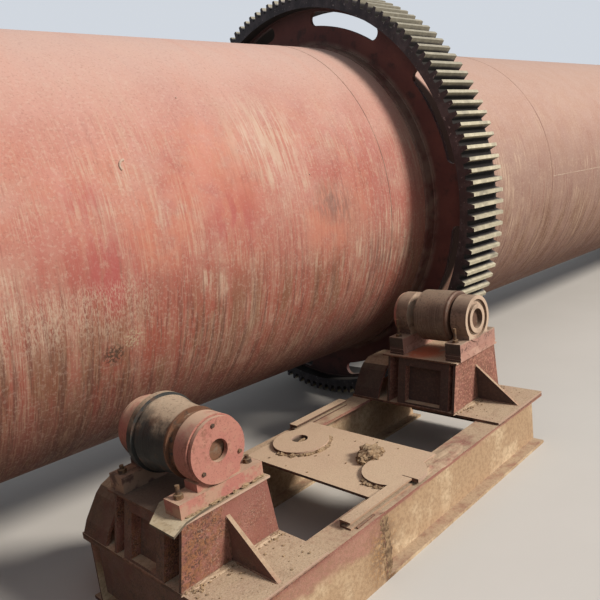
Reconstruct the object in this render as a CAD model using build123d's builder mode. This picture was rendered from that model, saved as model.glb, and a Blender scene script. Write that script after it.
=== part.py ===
from build123d import *
import math
import os

os.makedirs("parts", exist_ok=True)

# Rotary drum dryer: a drum shell with its girth gear, lying in a yard on its two riding rings,
# and one support-roller station beside it. Sizes in mm. X runs along the drum, Z is up,
# Y points away from the viewer, and the floor is z = 0.

# Drum sizes
shell_outer_r = 1014.0
shell_plate = 14.0
course_length = 1885.0
left_courses = 3
right_courses = 4
shell_bore_r = shell_outer_r - shell_plate
end_ring_depth = 26.0
end_ring_width = 60.0
gear_teeth = 132
gear_rise = 306.0
gear_pitch_r = shell_outer_r + gear_rise
gear_module = 2 * gear_pitch_r / gear_teeth
gear_width = 300.0
gear_tip_r = gear_pitch_r + gear_module
gear_root_r = gear_pitch_r - 1.25 * gear_module
gear_rim = 48.0
gear_rim_r = gear_root_r - gear_rim
gear_from_seam = 300.0
web_thick = 24.0
web_setback = 82.0
slot_count = 8
slot_share_inner = 0.54
slot_share_outer = 0.92
slot_degrees = 24.0
collar_thick = 14.0
collar_overhang = 70.0
ring_step = 5.0
tyre_outer_r = gear_tip_r + ring_step
tyre_section = 130.0
tyre_width = 220.0
tyre_chamfer = 8.0
tyre_from_end = 2500.0
seat_width = 170.0
seat_band = 16.0
seat_rib = 60.0
seat_ribs = 12
rib_overlap = 20.0
flight_count = 6
flight_height = 150.0
flight_plate = 10.0
flight_lip = 70.0
flight_start = 120.0
flight_first_turn = 30.0
tooth_root_share = 0.19
tooth_tip_share = 0.36

# Station sizes; u runs along the station from its left end, w is the depth from its near edge
frame_length = 2170.0
frame_width = 900.0
beam_height = 280.0
flange_width = 122.0
flange_plate = 14.0
web_plate = 9.0
box_plate = 8.0
box_plate_length = 751.0
end_channel_depth = 200.0
end_channel_width = 90.0
foot_plate = 12.0
left_foot_length = 446.0
right_foot_length = 482.0
cross_plate_left = 808.0
cross_plate_length = 457.0
cross_seat_near = 36.0
cross_seat_far = 58.0
disc_thick = 16.0
disc_r = 137.0
disc_hole_r = 41.0
near_disc_shift = 10.0
far_disc_shift = 9.0
disc_hole_shift = 20.0
bar_height = 30.0
bar_width = 52.0
bar_plate = 7.0
bar_clearance = 8.0
near_bar_w = 53.0
near_bar_from_foot = 153.0
near_bar_past_plate = 187.0
far_bar_from_edge = 36.0
far_bar_past_plate = 352.0
far_bar_from_foot = 128.0

# Pedestal sizes; the right pedestal is the taller one
wall_plate = 14.0
wall_inset = 243.0
wall_edge = 2.0
left_wall_height = 222.0
right_wall_height = 246.0
left_gusset_height = 170.0
right_gusset_height = 187.0
left_lean_left = 42.0
left_lean_right = 27.0
right_lean_left = 51.0
right_lean_right = 24.0
left_column_near_w = 340.0
right_column_near_w = 280.0
column_from_edge = 310.0
column_border = 48.0
column_recess = 40.0
column_top_band = 42.0
arch_length = 169.0
arch_from_edge = 9.0
arch_height = 180.0
arch_plate = 14.0
gusset_plate = 16.0
gusset_tip_w = 17.0
top_plate = 8.0
top_plate_near = 232.0
top_plate_from_edge = 210.0
top_plate_overhang = 10.0
shim_plate = 8.0
skew_reach = 252.0
skew_tip = 58.0
skew_depth = 180.0
pack_plates = 4
pack_plate = 10.0
pack_step = 6.0

# Bearing and roller sizes
left_axis_shift = 4.0
right_axis_from_end = 232.0
block_height = 52.0
block_length = 360.0
block_step = 4.0
housing_r = 118.0
housing_bite = 2.0
right_housing_sink = 24.0
housing_length = 88.0
cover_r = 114.0
cover_plate = 15.0
cover_neck = 4.0
cover_neck_r = 106.0
cover_hole_r = 39.0
bearing_bore_r = 52.0
bearing_ring_r = 75.0
bearing_groove_r = 100.0
bearing_groove = 14.0
journal_r = 51.95
journal_setback = 24.0
left_near_face_w = 239.0
left_far_face_from_edge = 217.0
right_near_face_w = 217.0
right_far_face_from_edge = 240.0
roller_gap = 14.0
roller_gap_far = 20.0
left_tread_r = 126.0
left_rim_r = 148.0
right_tread_r = 137.0
right_tread_share = 0.845
right_neck_r = 82.0

# Where things stand: the drum's left end is x = 0 here, and everything shifts to centre the box
drum_length = course_length * (left_courses + 1 + right_courses)
drum_axis_height = tyre_outer_r
gear_left_x = course_length * left_courses + gear_from_seam
tyre_left_x = tyre_from_end
tyre_right_x = drum_length - tyre_from_end
station_turn = 3.06
station_past_gear = 5.0
station_left_x = gear_left_x + station_past_gear - frame_length
station_front_y = 0.0
belly_clearance = 771.0
drum_axis_y = shell_outer_r + belly_clearance

# The origin is the middle of the whole box, on the floor
box_mid_x = drum_length / 2
box_mid_y = (station_front_y + drum_axis_y + tyre_outer_r) / 2


def drum_plane(x):
    # a plane square to the drum's axis, facing along +X, at distance x from the left end
    on_axis = (x - box_mid_x, drum_axis_y - box_mid_y, drum_axis_height)
    return Plane(on_axis, x_dir=(0, 1, 0), z_dir=(1, 0, 0))


turn_cos = math.cos(math.radians(station_turn))
turn_sin = math.sin(math.radians(station_turn))
station_floor = Plane(
    (station_left_x - box_mid_x, station_front_y - box_mid_y, 0),
    x_dir=(turn_cos, turn_sin, 0),
    z_dir=(0, 0, 1),
)


def station_level(z):
    # a level plane over the station, at height z
    return station_floor.offset(z)


def station_cut(w):
    # an upright plane along the station at depth w from its near edge; its normal faces away from the viewer
    return Plane(
        station_floor.from_local_coords((0, w, 0)),
        x_dir=(-turn_cos, -turn_sin, 0),
        z_dir=(-turn_sin, turn_cos, 0),
    )


# Shell sections
with BuildPart() as shell_left_section:
    with BuildSketch(drum_plane(0)):
        Circle(shell_outer_r)
        Circle(shell_bore_r, mode=Mode.SUBTRACT)
    extrude(amount=course_length * left_courses)
shell_left_section.part.label = "shell_left_section"
export_step(shell_left_section.part, "parts/shell_left_section.step")

with BuildPart() as shell_gear_course:
    with BuildSketch(drum_plane(course_length * left_courses)):
        Circle(shell_outer_r)
        Circle(shell_bore_r, mode=Mode.SUBTRACT)
    extrude(amount=course_length)
shell_gear_course.part.label = "shell_gear_course"
export_step(shell_gear_course.part, "parts/shell_gear_course.step")

with BuildPart() as shell_right_section:
    with BuildSketch(drum_plane(course_length * (left_courses + 1))):
        Circle(shell_outer_r)
        Circle(shell_bore_r, mode=Mode.SUBTRACT)
    extrude(amount=course_length * right_courses)
shell_right_section.part.label = "shell_right_section"
export_step(shell_right_section.part, "parts/shell_right_section.step")

# Stiffening rings round both open ends
with BuildPart() as end_ring_left:
    with BuildSketch(drum_plane(0)):
        Circle(shell_outer_r + end_ring_depth)
        Circle(shell_outer_r, mode=Mode.SUBTRACT)
    extrude(amount=end_ring_width)
end_ring_left.part.label = "end_ring_left"
export_step(end_ring_left.part, "parts/end_ring_left.step")

with BuildPart() as end_ring_right:
    with BuildSketch(drum_plane(drum_length - end_ring_width)):
        Circle(shell_outer_r + end_ring_depth)
        Circle(shell_outer_r, mode=Mode.SUBTRACT)
    extrude(amount=end_ring_width)
end_ring_right.part.label = "end_ring_right"
export_step(end_ring_right.part, "parts/end_ring_right.step")

# Riding rings and the ribbed seats that carry them
with BuildPart() as riding_ring_left:
    with BuildSketch(drum_plane(tyre_left_x - tyre_width / 2)):
        Circle(tyre_outer_r)
        Circle(tyre_outer_r - tyre_section, mode=Mode.SUBTRACT)
    extrude(amount=tyre_width)
    rims = riding_ring_left.edges().filter_by(GeomType.CIRCLE).sort_by(SortBy.RADIUS)[-2:]
    chamfer(rims, length=tyre_chamfer)
riding_ring_left.part.label = "riding_ring_left"
export_step(riding_ring_left.part, "parts/riding_ring_left.step")

with BuildPart() as riding_ring_right:
    with BuildSketch(drum_plane(tyre_right_x - tyre_width / 2)):
        Circle(tyre_outer_r)
        Circle(tyre_outer_r - tyre_section, mode=Mode.SUBTRACT)
    extrude(amount=tyre_width)
    rims = riding_ring_right.edges().filter_by(GeomType.CIRCLE).sort_by(SortBy.RADIUS)[-2:]
    chamfer(rims, length=tyre_chamfer)
riding_ring_right.part.label = "riding_ring_right"
export_step(riding_ring_right.part, "parts/riding_ring_right.step")

seat_outer_r = tyre_outer_r - tyre_section
seat_rib_mid_r = (shell_outer_r + seat_outer_r) / 2
with BuildPart() as ring_seat_left:
    with BuildSketch(drum_plane(tyre_left_x - seat_width / 2)):
        Circle(shell_outer_r + seat_band)
        with PolarLocations(seat_rib_mid_r, seat_ribs):
            Rectangle(seat_outer_r - shell_outer_r + rib_overlap, seat_rib)
        Circle(seat_outer_r, mode=Mode.INTERSECT)
        Circle(shell_outer_r, mode=Mode.SUBTRACT)
    extrude(amount=seat_width)
ring_seat_left.part.label = "ring_seat_left"
export_step(ring_seat_left.part, "parts/ring_seat_left.step")

with BuildPart() as ring_seat_right:
    with BuildSketch(drum_plane(tyre_right_x - seat_width / 2)):
        Circle(shell_outer_r + seat_band)
        with PolarLocations(seat_rib_mid_r, seat_ribs):
            Rectangle(seat_outer_r - shell_outer_r + rib_overlap, seat_rib)
        Circle(seat_outer_r, mode=Mode.INTERSECT)
        Circle(shell_outer_r, mode=Mode.SUBTRACT)
    extrude(amount=seat_width)
ring_seat_right.part.label = "ring_seat_right"
export_step(ring_seat_right.part, "parts/ring_seat_right.step")

# Girth gear: a toothed ring in two halves, split on the level of the axis
tooth_turn = 360.0 / gear_teeth
gear_core_r = gear_rim_r / 2


def at_turn(radius, turn_degrees):
    # a point of a drum_plane at this radius and turn
    turn = math.radians(turn_degrees)
    return (radius * math.cos(turn), radius * math.sin(turn))


def toothed_half(first_tooth):
    # points of half a toothed ring: root, flank, tip land, flank, for every tooth, then back inside the rim
    half = gear_teeth // 2
    first_turn = (first_tooth - 0.5) * tooth_turn
    last_turn = first_turn + half * tooth_turn
    points = []
    for tooth in range(half):
        start = first_turn + tooth * tooth_turn
        points.append(at_turn(gear_root_r, start))
        points.append(at_turn(gear_root_r, start + tooth_root_share * tooth_turn))
        points.append(at_turn(gear_tip_r, start + tooth_tip_share * tooth_turn))
        points.append(at_turn(gear_tip_r, start + (1 - tooth_tip_share) * tooth_turn))
        points.append(at_turn(gear_root_r, start + (1 - tooth_root_share) * tooth_turn))
    points.append(at_turn(gear_root_r, last_turn))
    points.append(at_turn(gear_core_r, last_turn))
    points.append(at_turn(gear_core_r, first_turn))
    return points


with BuildPart() as gear_ring_upper:
    with BuildSketch(drum_plane(gear_left_x)):
        with BuildLine():
            Polyline(*toothed_half(0), close=True)
        make_face()
        Circle(gear_rim_r, mode=Mode.SUBTRACT)
    extrude(amount=gear_width)
gear_ring_upper.part.label = "gear_ring_upper"
export_step(gear_ring_upper.part, "parts/gear_ring_upper.step")

with BuildPart() as gear_ring_lower:
    with BuildSketch(drum_plane(gear_left_x)):
        with BuildLine():
            Polyline(*toothed_half(gear_teeth // 2), close=True)
        make_face()
        Circle(gear_rim_r, mode=Mode.SUBTRACT)
    extrude(amount=gear_width)
gear_ring_lower.part.label = "gear_ring_lower"
export_step(gear_ring_lower.part, "parts/gear_ring_lower.step")

# Web disc between the toothed ring and the shell, with eight arc slots
collar_outer_r = shell_outer_r + collar_thick
web_depth = gear_rim_r - collar_outer_r
slot_inner_r = collar_outer_r + web_depth * slot_share_inner
slot_outer_r = collar_outer_r + web_depth * slot_share_outer
slot_mid_r = (slot_outer_r + slot_inner_r) / 2
slot_height = slot_outer_r - slot_inner_r
slot_first = 360.0 / slot_count / 2

with BuildPart() as gear_web:
    with BuildSketch(drum_plane(gear_left_x + web_setback)):
        Circle(gear_rim_r)
        Circle(collar_outer_r, mode=Mode.SUBTRACT)
        for slot in range(slot_count):
            middle = slot_first + slot * 360.0 / slot_count
            with BuildLine(mode=Mode.PRIVATE) as slot_path:
                CenterArc((0, 0), slot_mid_r, middle - slot_degrees / 2, slot_degrees)
            SlotArc(slot_path.edges()[0], slot_height, mode=Mode.SUBTRACT)
    extrude(amount=web_thick)
gear_web.part.label = "gear_web"
export_step(gear_web.part, "parts/gear_web.step")

with BuildPart() as gear_collar:
    with BuildSketch(drum_plane(gear_left_x + web_setback - collar_overhang)):
        Circle(collar_outer_r)
        Circle(shell_outer_r, mode=Mode.SUBTRACT)
    extrude(amount=2 * collar_overhang + web_thick)
gear_collar.part.label = "gear_collar"
export_step(gear_collar.part, "parts/gear_collar.step")

# Lifting flights: long angles along the inside of the shell
flight_length = drum_length - 2 * flight_start


def flight_outline(turn_degrees):
    # an angle section that stands on the bore at this turn and hooks over
    turn_x = math.cos(math.radians(turn_degrees))
    turn_y = math.sin(math.radians(turn_degrees))
    foot = math.sqrt(shell_bore_r * shell_bore_r - flight_plate * flight_plate)
    top = shell_bore_r - flight_height
    flat = [(foot, 0), (top, 0), (top, flight_lip), (top + flight_plate, flight_lip)]
    flat += [(top + flight_plate, flight_plate), (foot, flight_plate)]
    return [(a * turn_x - b * turn_y, a * turn_y + b * turn_x) for a, b in flat]


for flight in range(flight_count):
    name = "lifting_flight_" + str(flight + 1)
    with BuildPart() as lifting_flight:
        with BuildSketch(drum_plane(flight_start)):
            with BuildLine():
                Polyline(*flight_outline(flight_first_turn + flight * 360.0 / flight_count), close=True)
            make_face()
        extrude(amount=flight_length)
    lifting_flight.part.label = name
    export_step(lifting_flight.part, "parts/" + name + ".step")

# Station frame: two I beams joined by end channels
def beam_outline(mid_w):
    half = flange_width / 2
    side = web_plate / 2
    low = flange_plate
    high = beam_height - flange_plate
    flat = [(-half, 0), (half, 0), (half, low), (side, low), (side, high), (half, high), (half, beam_height)]
    flat += [(-half, beam_height), (-half, high), (-side, high), (-side, low), (-half, low)]
    return [(mid_w + a, b) for a, b in flat]


beam_end = Plane(station_floor.origin, x_dir=(-turn_sin, turn_cos, 0), z_dir=(turn_cos, turn_sin, 0))

with BuildPart() as frame_beam_near:
    with BuildSketch(beam_end):
        with BuildLine():
            Polyline(*beam_outline(flange_width / 2), close=True)
        make_face()
    extrude(amount=frame_length)
frame_beam_near.part.label = "frame_beam_near"
export_step(frame_beam_near.part, "parts/frame_beam_near.step")

with BuildPart() as frame_beam_far:
    with BuildSketch(beam_end):
        with BuildLine():
            Polyline(*beam_outline(frame_width - flange_width / 2), close=True)
        make_face()
    extrude(amount=frame_length)
frame_beam_far.part.label = "frame_beam_far"
export_step(frame_beam_far.part, "parts/frame_beam_far.step")

cross_span = frame_width - 2 * flange_width
frame_mid_w = frame_width / 2
far_bar_w = frame_width - far_bar_from_edge
column_far_w = frame_width - column_from_edge
arch_near_w = frame_width - arch_from_edge - arch_length
top_plate_far = frame_width - top_plate_from_edge
left_far_face_w = frame_width - left_far_face_from_edge
right_far_face_w = frame_width - right_far_face_from_edge
channel_z = beam_height - end_channel_depth / 2

# The left part of the near beam's outer side is closed with a plate
with BuildPart(station_floor) as web_box_plate:
    with Locations((box_plate_length / 2, box_plate / 2, beam_height / 2)):
        Box(box_plate_length, box_plate, beam_height - 2 * flange_plate)
web_box_plate.part.label = "web_box_plate"
export_step(web_box_plate.part, "parts/web_box_plate.step")

with BuildPart(station_floor) as end_channel_left:
    with Locations((end_channel_width / 2, frame_mid_w, channel_z)):
        Box(end_channel_width, cross_span, end_channel_depth)
    with Locations((end_channel_width / 2 + web_plate, frame_mid_w, channel_z)):
        Box(end_channel_width, cross_span, end_channel_depth - 2 * flange_plate, mode=Mode.SUBTRACT)
end_channel_left.part.label = "end_channel_left"
export_step(end_channel_left.part, "parts/end_channel_left.step")

with BuildPart(station_floor) as end_channel_right:
    with Locations((frame_length - end_channel_width / 2, frame_mid_w, channel_z)):
        Box(end_channel_width, cross_span, end_channel_depth)
    with Locations((frame_length - end_channel_width / 2 - web_plate, frame_mid_w, channel_z)):
        Box(end_channel_width, cross_span, end_channel_depth - 2 * flange_plate, mode=Mode.SUBTRACT)
end_channel_right.part.label = "end_channel_right"
export_step(end_channel_right.part, "parts/end_channel_right.step")

# Foot plates and the cross plate lie on the beams
foot_top = beam_height + foot_plate
foot_mid_z = beam_height + foot_plate / 2

with BuildPart(station_floor) as foot_plate_left:
    with Locations((left_foot_length / 2, frame_mid_w, foot_mid_z)):
        Box(left_foot_length, frame_width, foot_plate)
foot_plate_left.part.label = "foot_plate_left"
export_step(foot_plate_left.part, "parts/foot_plate_left.step")

with BuildPart(station_floor) as foot_plate_right:
    with Locations((frame_length - right_foot_length / 2, frame_mid_w, foot_mid_z)):
        Box(right_foot_length, frame_width, foot_plate)
foot_plate_right.part.label = "foot_plate_right"
export_step(foot_plate_right.part, "parts/foot_plate_right.step")

right_foot_left = frame_length - right_foot_length
cross_plate_near = flange_width - cross_seat_near
cross_plate_far = frame_width - flange_width + cross_seat_far
cross_mid_u = cross_plate_left + cross_plate_length / 2
cross_mid_w = (cross_plate_near + cross_plate_far) / 2
with BuildPart(station_floor) as cross_plate:
    with Locations((cross_mid_u, cross_mid_w, foot_mid_z)):
        Box(cross_plate_length, cross_plate_far - cross_plate_near, foot_plate)
cross_plate.part.label = "cross_plate"
export_step(cross_plate.part, "parts/cross_plate.step")

# Small channels lying on the beams, open toward the viewer
near_bar_left = left_foot_length + near_bar_from_foot
near_bar_right = cross_plate_left + near_bar_past_plate
far_bar_left = cross_plate_left + far_bar_past_plate
far_bar_right = right_foot_left - far_bar_from_foot
bar_mid_z = beam_height + bar_height / 2
with BuildPart(station_floor) as loose_bar_near:
    with Locations(((near_bar_left + near_bar_right) / 2, near_bar_w, bar_mid_z)):
        Box(near_bar_right - near_bar_left, bar_width, bar_height)
    with Locations(((near_bar_left + near_bar_right) / 2, near_bar_w - bar_plate, bar_mid_z)):
        Box(near_bar_right - near_bar_left, bar_width, bar_height - 2 * bar_plate, mode=Mode.SUBTRACT)
loose_bar_near.part.label = "loose_bar_near"
export_step(loose_bar_near.part, "parts/loose_bar_near.step")

with BuildPart(station_floor) as loose_bar_far:
    with Locations(((far_bar_left + far_bar_right) / 2, far_bar_w, bar_mid_z)):
        Box(far_bar_right - far_bar_left, bar_width, bar_height)
    with Locations(((far_bar_left + far_bar_right) / 2, far_bar_w - bar_plate, bar_mid_z)):
        Box(far_bar_right - far_bar_left, bar_width, bar_height - 2 * bar_plate, mode=Mode.SUBTRACT)
loose_bar_far.part.label = "loose_bar_far"
export_step(loose_bar_far.part, "parts/loose_bar_far.step")

# Two discs for the missing thrust rollers; the near one is cut away round the end of the channel
disc_z = foot_top + disc_thick / 2
near_disc_u = cross_mid_u - near_disc_shift
near_disc_w = disc_r
cut_u = near_bar_right + bar_clearance - disc_r
cut_w = near_bar_w + bar_width / 2 + 1 - disc_r
far_disc_u = cross_mid_u + far_disc_shift
far_disc_w = cross_plate_far - disc_r
with BuildPart(station_floor) as thrust_disc_near:
    with Locations((near_disc_u, near_disc_w, disc_z)):
        Cylinder(disc_r, disc_thick)
    with Locations((cut_u, cut_w, disc_z)):
        Box(2 * disc_r, 2 * disc_r, disc_thick, mode=Mode.SUBTRACT)
thrust_disc_near.part.label = "thrust_disc_near"
export_step(thrust_disc_near.part, "parts/thrust_disc_near.step")

with BuildPart(station_floor) as thrust_disc_far:
    with Locations((far_disc_u, far_disc_w, disc_z)):
        Cylinder(disc_r, disc_thick)
    with Locations((cross_mid_u + disc_hole_shift, far_disc_w + disc_hole_r / 2, disc_z)):
        Cylinder(disc_hole_r, disc_thick, mode=Mode.SUBTRACT)
thrust_disc_far.part.label = "thrust_disc_far"
export_step(thrust_disc_far.part, "parts/thrust_disc_far.step")

# Pedestals: sloping walls and a recessed column under a top plate, with an arch at the far side


def station_upright(u):
    # an upright plane across the station: local x runs along w, local y is height above the floor
    return Plane(station_floor.from_local_coords((u, 0, 0)), x_dir=beam_end.x_dir, z_dir=beam_end.z_dir)


def wall_outline(foot_left, foot_right, top_left, top_right, low_z, high_z):
    # a trapezoid in a station_cut plane, whose local x runs against u
    return [(-foot_left, low_z), (-foot_right, low_z), (-top_right, high_z), (-top_left, high_z)]


def pedestal(
    side, foot_left, foot_right, lean_left, lean_right,
    wall_height, gusset_height, column_near_w, axis_u,
):
    # the lean is how far each sloping edge comes in from the foot to the top
    wall_top = foot_top + wall_height
    top_left = foot_left + lean_left
    top_right = foot_right - lean_right
    outline = wall_outline(foot_left, foot_right, top_left, top_right, foot_top, wall_top)
    far_wall_w = frame_width - wall_inset - wall_plate
    for place, w in (("near", wall_inset), ("far", far_wall_w)):
        name = "pedestal_wall_" + side + "_" + place
        with BuildPart() as wall:
            with BuildSketch(station_cut(w)):
                with BuildLine():
                    Polyline(*outline, close=True)
                make_face()
            extrude(amount=wall_plate)
        wall.part.label = name
        export_step(wall.part, "parts/" + name + ".step")

    # the column is a box of plates; its two sloping ends have a recessed panel
    skin = column_recess + wall_plate
    inside = wall_outline(
        foot_left + skin, foot_right - skin, top_left + skin, top_right - skin, foot_top, wall_top
    )
    recess_high = wall_top - column_top_band
    slope_share = column_top_band / wall_height
    left_at_recess = top_left + (foot_left - top_left) * slope_share
    right_at_recess = top_right + (foot_right - top_right) * slope_share
    floor_plate_z = foot_top + wall_plate
    recess_left = wall_outline(
        foot_left - 1, foot_left + column_recess, left_at_recess - 1, left_at_recess + column_recess,
        floor_plate_z, recess_high,
    )
    recess_right = wall_outline(
        foot_right - column_recess, foot_right + 1, right_at_recess - column_recess, right_at_recess + 1,
        floor_plate_z, recess_high,
    )
    column_depth = column_far_w - column_near_w
    name = "pedestal_column_" + side
    with BuildPart() as column:
        with BuildSketch(station_cut(column_near_w)):
            with BuildLine():
                Polyline(*outline, close=True)
            make_face()
        extrude(amount=column_depth)
        with BuildSketch(station_cut(column_near_w + wall_plate)):
            with BuildLine():
                Polyline(*inside, close=True)
            make_face()
        extrude(amount=column_depth - 2 * wall_plate, mode=Mode.SUBTRACT)
        with BuildSketch(station_cut(column_near_w + column_border)):
            with BuildLine():
                Polyline(*recess_left, close=True)
            make_face()
            with BuildLine():
                Polyline(*recess_right, close=True)
            make_face()
        extrude(amount=column_depth - 2 * column_border, mode=Mode.SUBTRACT)
    column.part.label = name
    export_step(column.part, "parts/" + name + ".step")

    # arch plate: the left half of its line as shares of the span and height, then its mirror
    span = foot_right - foot_left
    middle = (foot_left + foot_right) / 2
    half_line = [(0.5, 0.0), (0.453, 0.267), (0.322, 0.744), (0.262, 0.883), (0.162, 0.989), (0.0, 1.0)]
    whole_line = half_line + [(-share, rise) for share, rise in half_line[-2::-1]]
    arch_line = [(-middle - share * span, foot_top + rise * arch_height) for share, rise in whole_line]
    inner_span = span - 2 * arch_plate
    inner_rise = arch_height - arch_plate
    inner_line = [(-middle - share * inner_span, foot_top + rise * inner_rise) for share, rise in whole_line]
    name = "arch_plate_" + side
    with BuildPart() as arch:
        with BuildSketch(station_cut(arch_near_w)):
            with BuildLine():
                Polyline(*arch_line, *inner_line[::-1], close=True)
            make_face()
        extrude(amount=arch_length)
    arch.part.label = name
    export_step(arch.part, "parts/" + name + ".step")

    name = "gusset_" + side
    with BuildPart() as gusset:
        with BuildSketch(station_upright(axis_u - gusset_plate / 2)):
            with BuildLine():
                Polyline(
                    (wall_inset, foot_top),
                    (gusset_tip_w, foot_top),
                    (wall_inset, foot_top + gusset_height),
                    close=True,
                )
            make_face()
        extrude(amount=gusset_plate)
    gusset.part.label = name
    export_step(gusset.part, "parts/" + name + ".step")

    plate_length = top_right - top_left + 2 * top_plate_overhang
    plate_mid_w = (top_plate_near + top_plate_far) / 2
    name = "top_plate_" + side
    with BuildPart(station_floor) as top:
        with Locations(((top_left + top_right) / 2, plate_mid_w, wall_top + top_plate / 2)):
            Box(plate_length, top_plate_far - top_plate_near, top_plate)
    top.part.label = name
    export_step(top.part, "parts/" + name + ".step")


left_axis_u = left_foot_length / 2 + left_axis_shift
right_axis_u = frame_length - right_axis_from_end
pedestal(
    "left", wall_edge, left_foot_length - wall_edge, left_lean_left, left_lean_right,
    left_wall_height, left_gusset_height, left_column_near_w, left_axis_u,
)
pedestal(
    "right", right_foot_left + wall_edge, frame_length - wall_edge, right_lean_left, right_lean_right,
    right_wall_height, right_gusset_height, right_column_near_w, right_axis_u,
)

# A skewed plate under the left near bearing, and packs of plates under both right bearings
left_plate_top = foot_top + left_wall_height + top_plate
right_plate_top = foot_top + right_wall_height + top_plate
with BuildPart() as skewed_plate_left:
    with BuildSketch(station_level(left_plate_top)):
        with BuildLine():
            Polyline(
                (left_axis_u - skew_reach, wall_inset - skew_tip),
                (left_axis_u - 0.7 * skew_reach, wall_inset - 0.33 * skew_tip),
                (left_axis_u, wall_inset + 0.1 * skew_tip),
                (left_axis_u, wall_inset + skew_depth),
                (left_axis_u - 0.6 * skew_reach, wall_inset + 0.94 * skew_depth),
                (left_axis_u - 0.8 * skew_reach, wall_inset + 0.69 * skew_depth),
                (left_axis_u - 0.99 * skew_reach, wall_inset + 0.44 * skew_depth),
                close=True,
            )
        make_face()
    extrude(amount=shim_plate)
skewed_plate_left.part.label = "skewed_plate_left"
export_step(skewed_plate_left.part, "parts/skewed_plate_left.step")

block_offset = block_step + housing_length / 2
pack_height = pack_plates * pack_plate
for place, block_mid_w in (
    ("near", right_near_face_w + block_offset),
    ("far", right_far_face_w - block_offset),
):
    name = "shim_pack_right_" + place
    with BuildPart(station_floor) as pack:
        for layer in range(pack_plates):
            layer_length = block_length + (layer + 1) % 2 * pack_step
            with Locations((right_axis_u, block_mid_w, right_plate_top + (layer + 0.5) * pack_plate)):
                Box(layer_length, housing_length, pack_plate)
    pack.part.label = name
    export_step(pack.part, "parts/" + name + ".step")

# Bearing housings and their covers; the right near one has lost its cover
left_block_top = left_plate_top + shim_plate + block_height
right_block_top = right_plate_top + pack_height + block_height
left_axis_z = left_block_top + housing_r
right_axis_z = right_block_top - right_housing_sink + housing_r
saddle_length = housing_r * 1.6
saddle_height = housing_r / 4


def housing(side, place, face_w, axis_u, axis_z, base_z, block_top, covered):
    # face_w is the outer face, and inward is +1 for a near housing and -1 for a far one
    inward = 1 if place == "near" else -1
    ring_start = (cover_plate + cover_neck) if covered else 0.0
    ring_length = housing_length - ring_start
    ring_mid_w = face_w + inward * (ring_start + ring_length / 2)
    block_mid_w = face_w + inward * block_offset
    name = "housing_" + side + "_" + place
    with BuildPart(station_floor) as body:
        with Locations((axis_u, block_mid_w, (base_z + block_top) / 2)):
            Box(block_length, housing_length, block_top - base_z)
        if covered:
            with Locations((axis_u, face_w + inward * ring_start / 2, axis_z)):
                Cylinder(cover_r, ring_start, rotation=(90, 0, 0), mode=Mode.SUBTRACT)
        with Locations((axis_u, ring_mid_w, block_top + saddle_height / 2)):
            Box(saddle_length, ring_length, saddle_height)
        with Locations((axis_u, ring_mid_w, axis_z)):
            Cylinder(housing_r + housing_bite, ring_length, rotation=(90, 0, 0))
            Cylinder(bearing_bore_r, ring_length, rotation=(90, 0, 0), mode=Mode.SUBTRACT)
        if not covered:
            with Locations((axis_u, face_w + inward * bearing_groove / 2, axis_z)):
                Cylinder(bearing_groove_r, bearing_groove, rotation=(90, 0, 0), mode=Mode.SUBTRACT)
                Cylinder(bearing_ring_r, bearing_groove, rotation=(90, 0, 0))
                Cylinder(bearing_bore_r, bearing_groove, rotation=(90, 0, 0), mode=Mode.SUBTRACT)
    body.part.label = name
    export_step(body.part, "parts/" + name + ".step")
    if covered:
        name = "bearing_cover_" + side + "_" + place
        with BuildPart(station_floor) as cover:
            with Locations((axis_u, face_w + inward * cover_plate / 2, axis_z)):
                Cylinder(cover_r, cover_plate, rotation=(90, 0, 0))
            with Locations((axis_u, face_w + inward * (cover_plate + cover_neck / 2), axis_z)):
                Cylinder(cover_neck_r, cover_neck, rotation=(90, 0, 0))
            with Locations((axis_u, face_w + inward * ring_start / 2, axis_z)):
                Cylinder(cover_hole_r, ring_start, rotation=(90, 0, 0), mode=Mode.SUBTRACT)
        cover.part.label = name
        export_step(cover.part, "parts/" + name + ".step")


left_near_base = left_plate_top + shim_plate
right_base = right_plate_top + pack_height
housing("left", "near", left_near_face_w, left_axis_u, left_axis_z, left_near_base, left_block_top, True)
housing("left", "far", left_far_face_w, left_axis_u, left_axis_z, left_plate_top, left_block_top, True)
housing("right", "near", right_near_face_w, right_axis_u, right_axis_z, right_base, right_block_top, False)
housing("right", "far", right_far_face_w, right_axis_u, right_axis_z, right_base, right_block_top, True)


# Support rollers, turned in one piece with their journals
def roller(side, axis_u, axis_z, outline):
    name = "roller_" + side
    plane = station_upright(axis_u)
    with BuildPart() as body:
        with BuildSketch(plane):
            with BuildLine():
                Polyline(*[(w, axis_z + radius) for w, radius in outline], close=True)
            make_face()
        revolve(axis=Axis(plane.from_local_coords((0, axis_z, 0)), beam_end.x_dir))
    body.part.label = name
    export_step(body.part, "parts/" + name + ".step")


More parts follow.
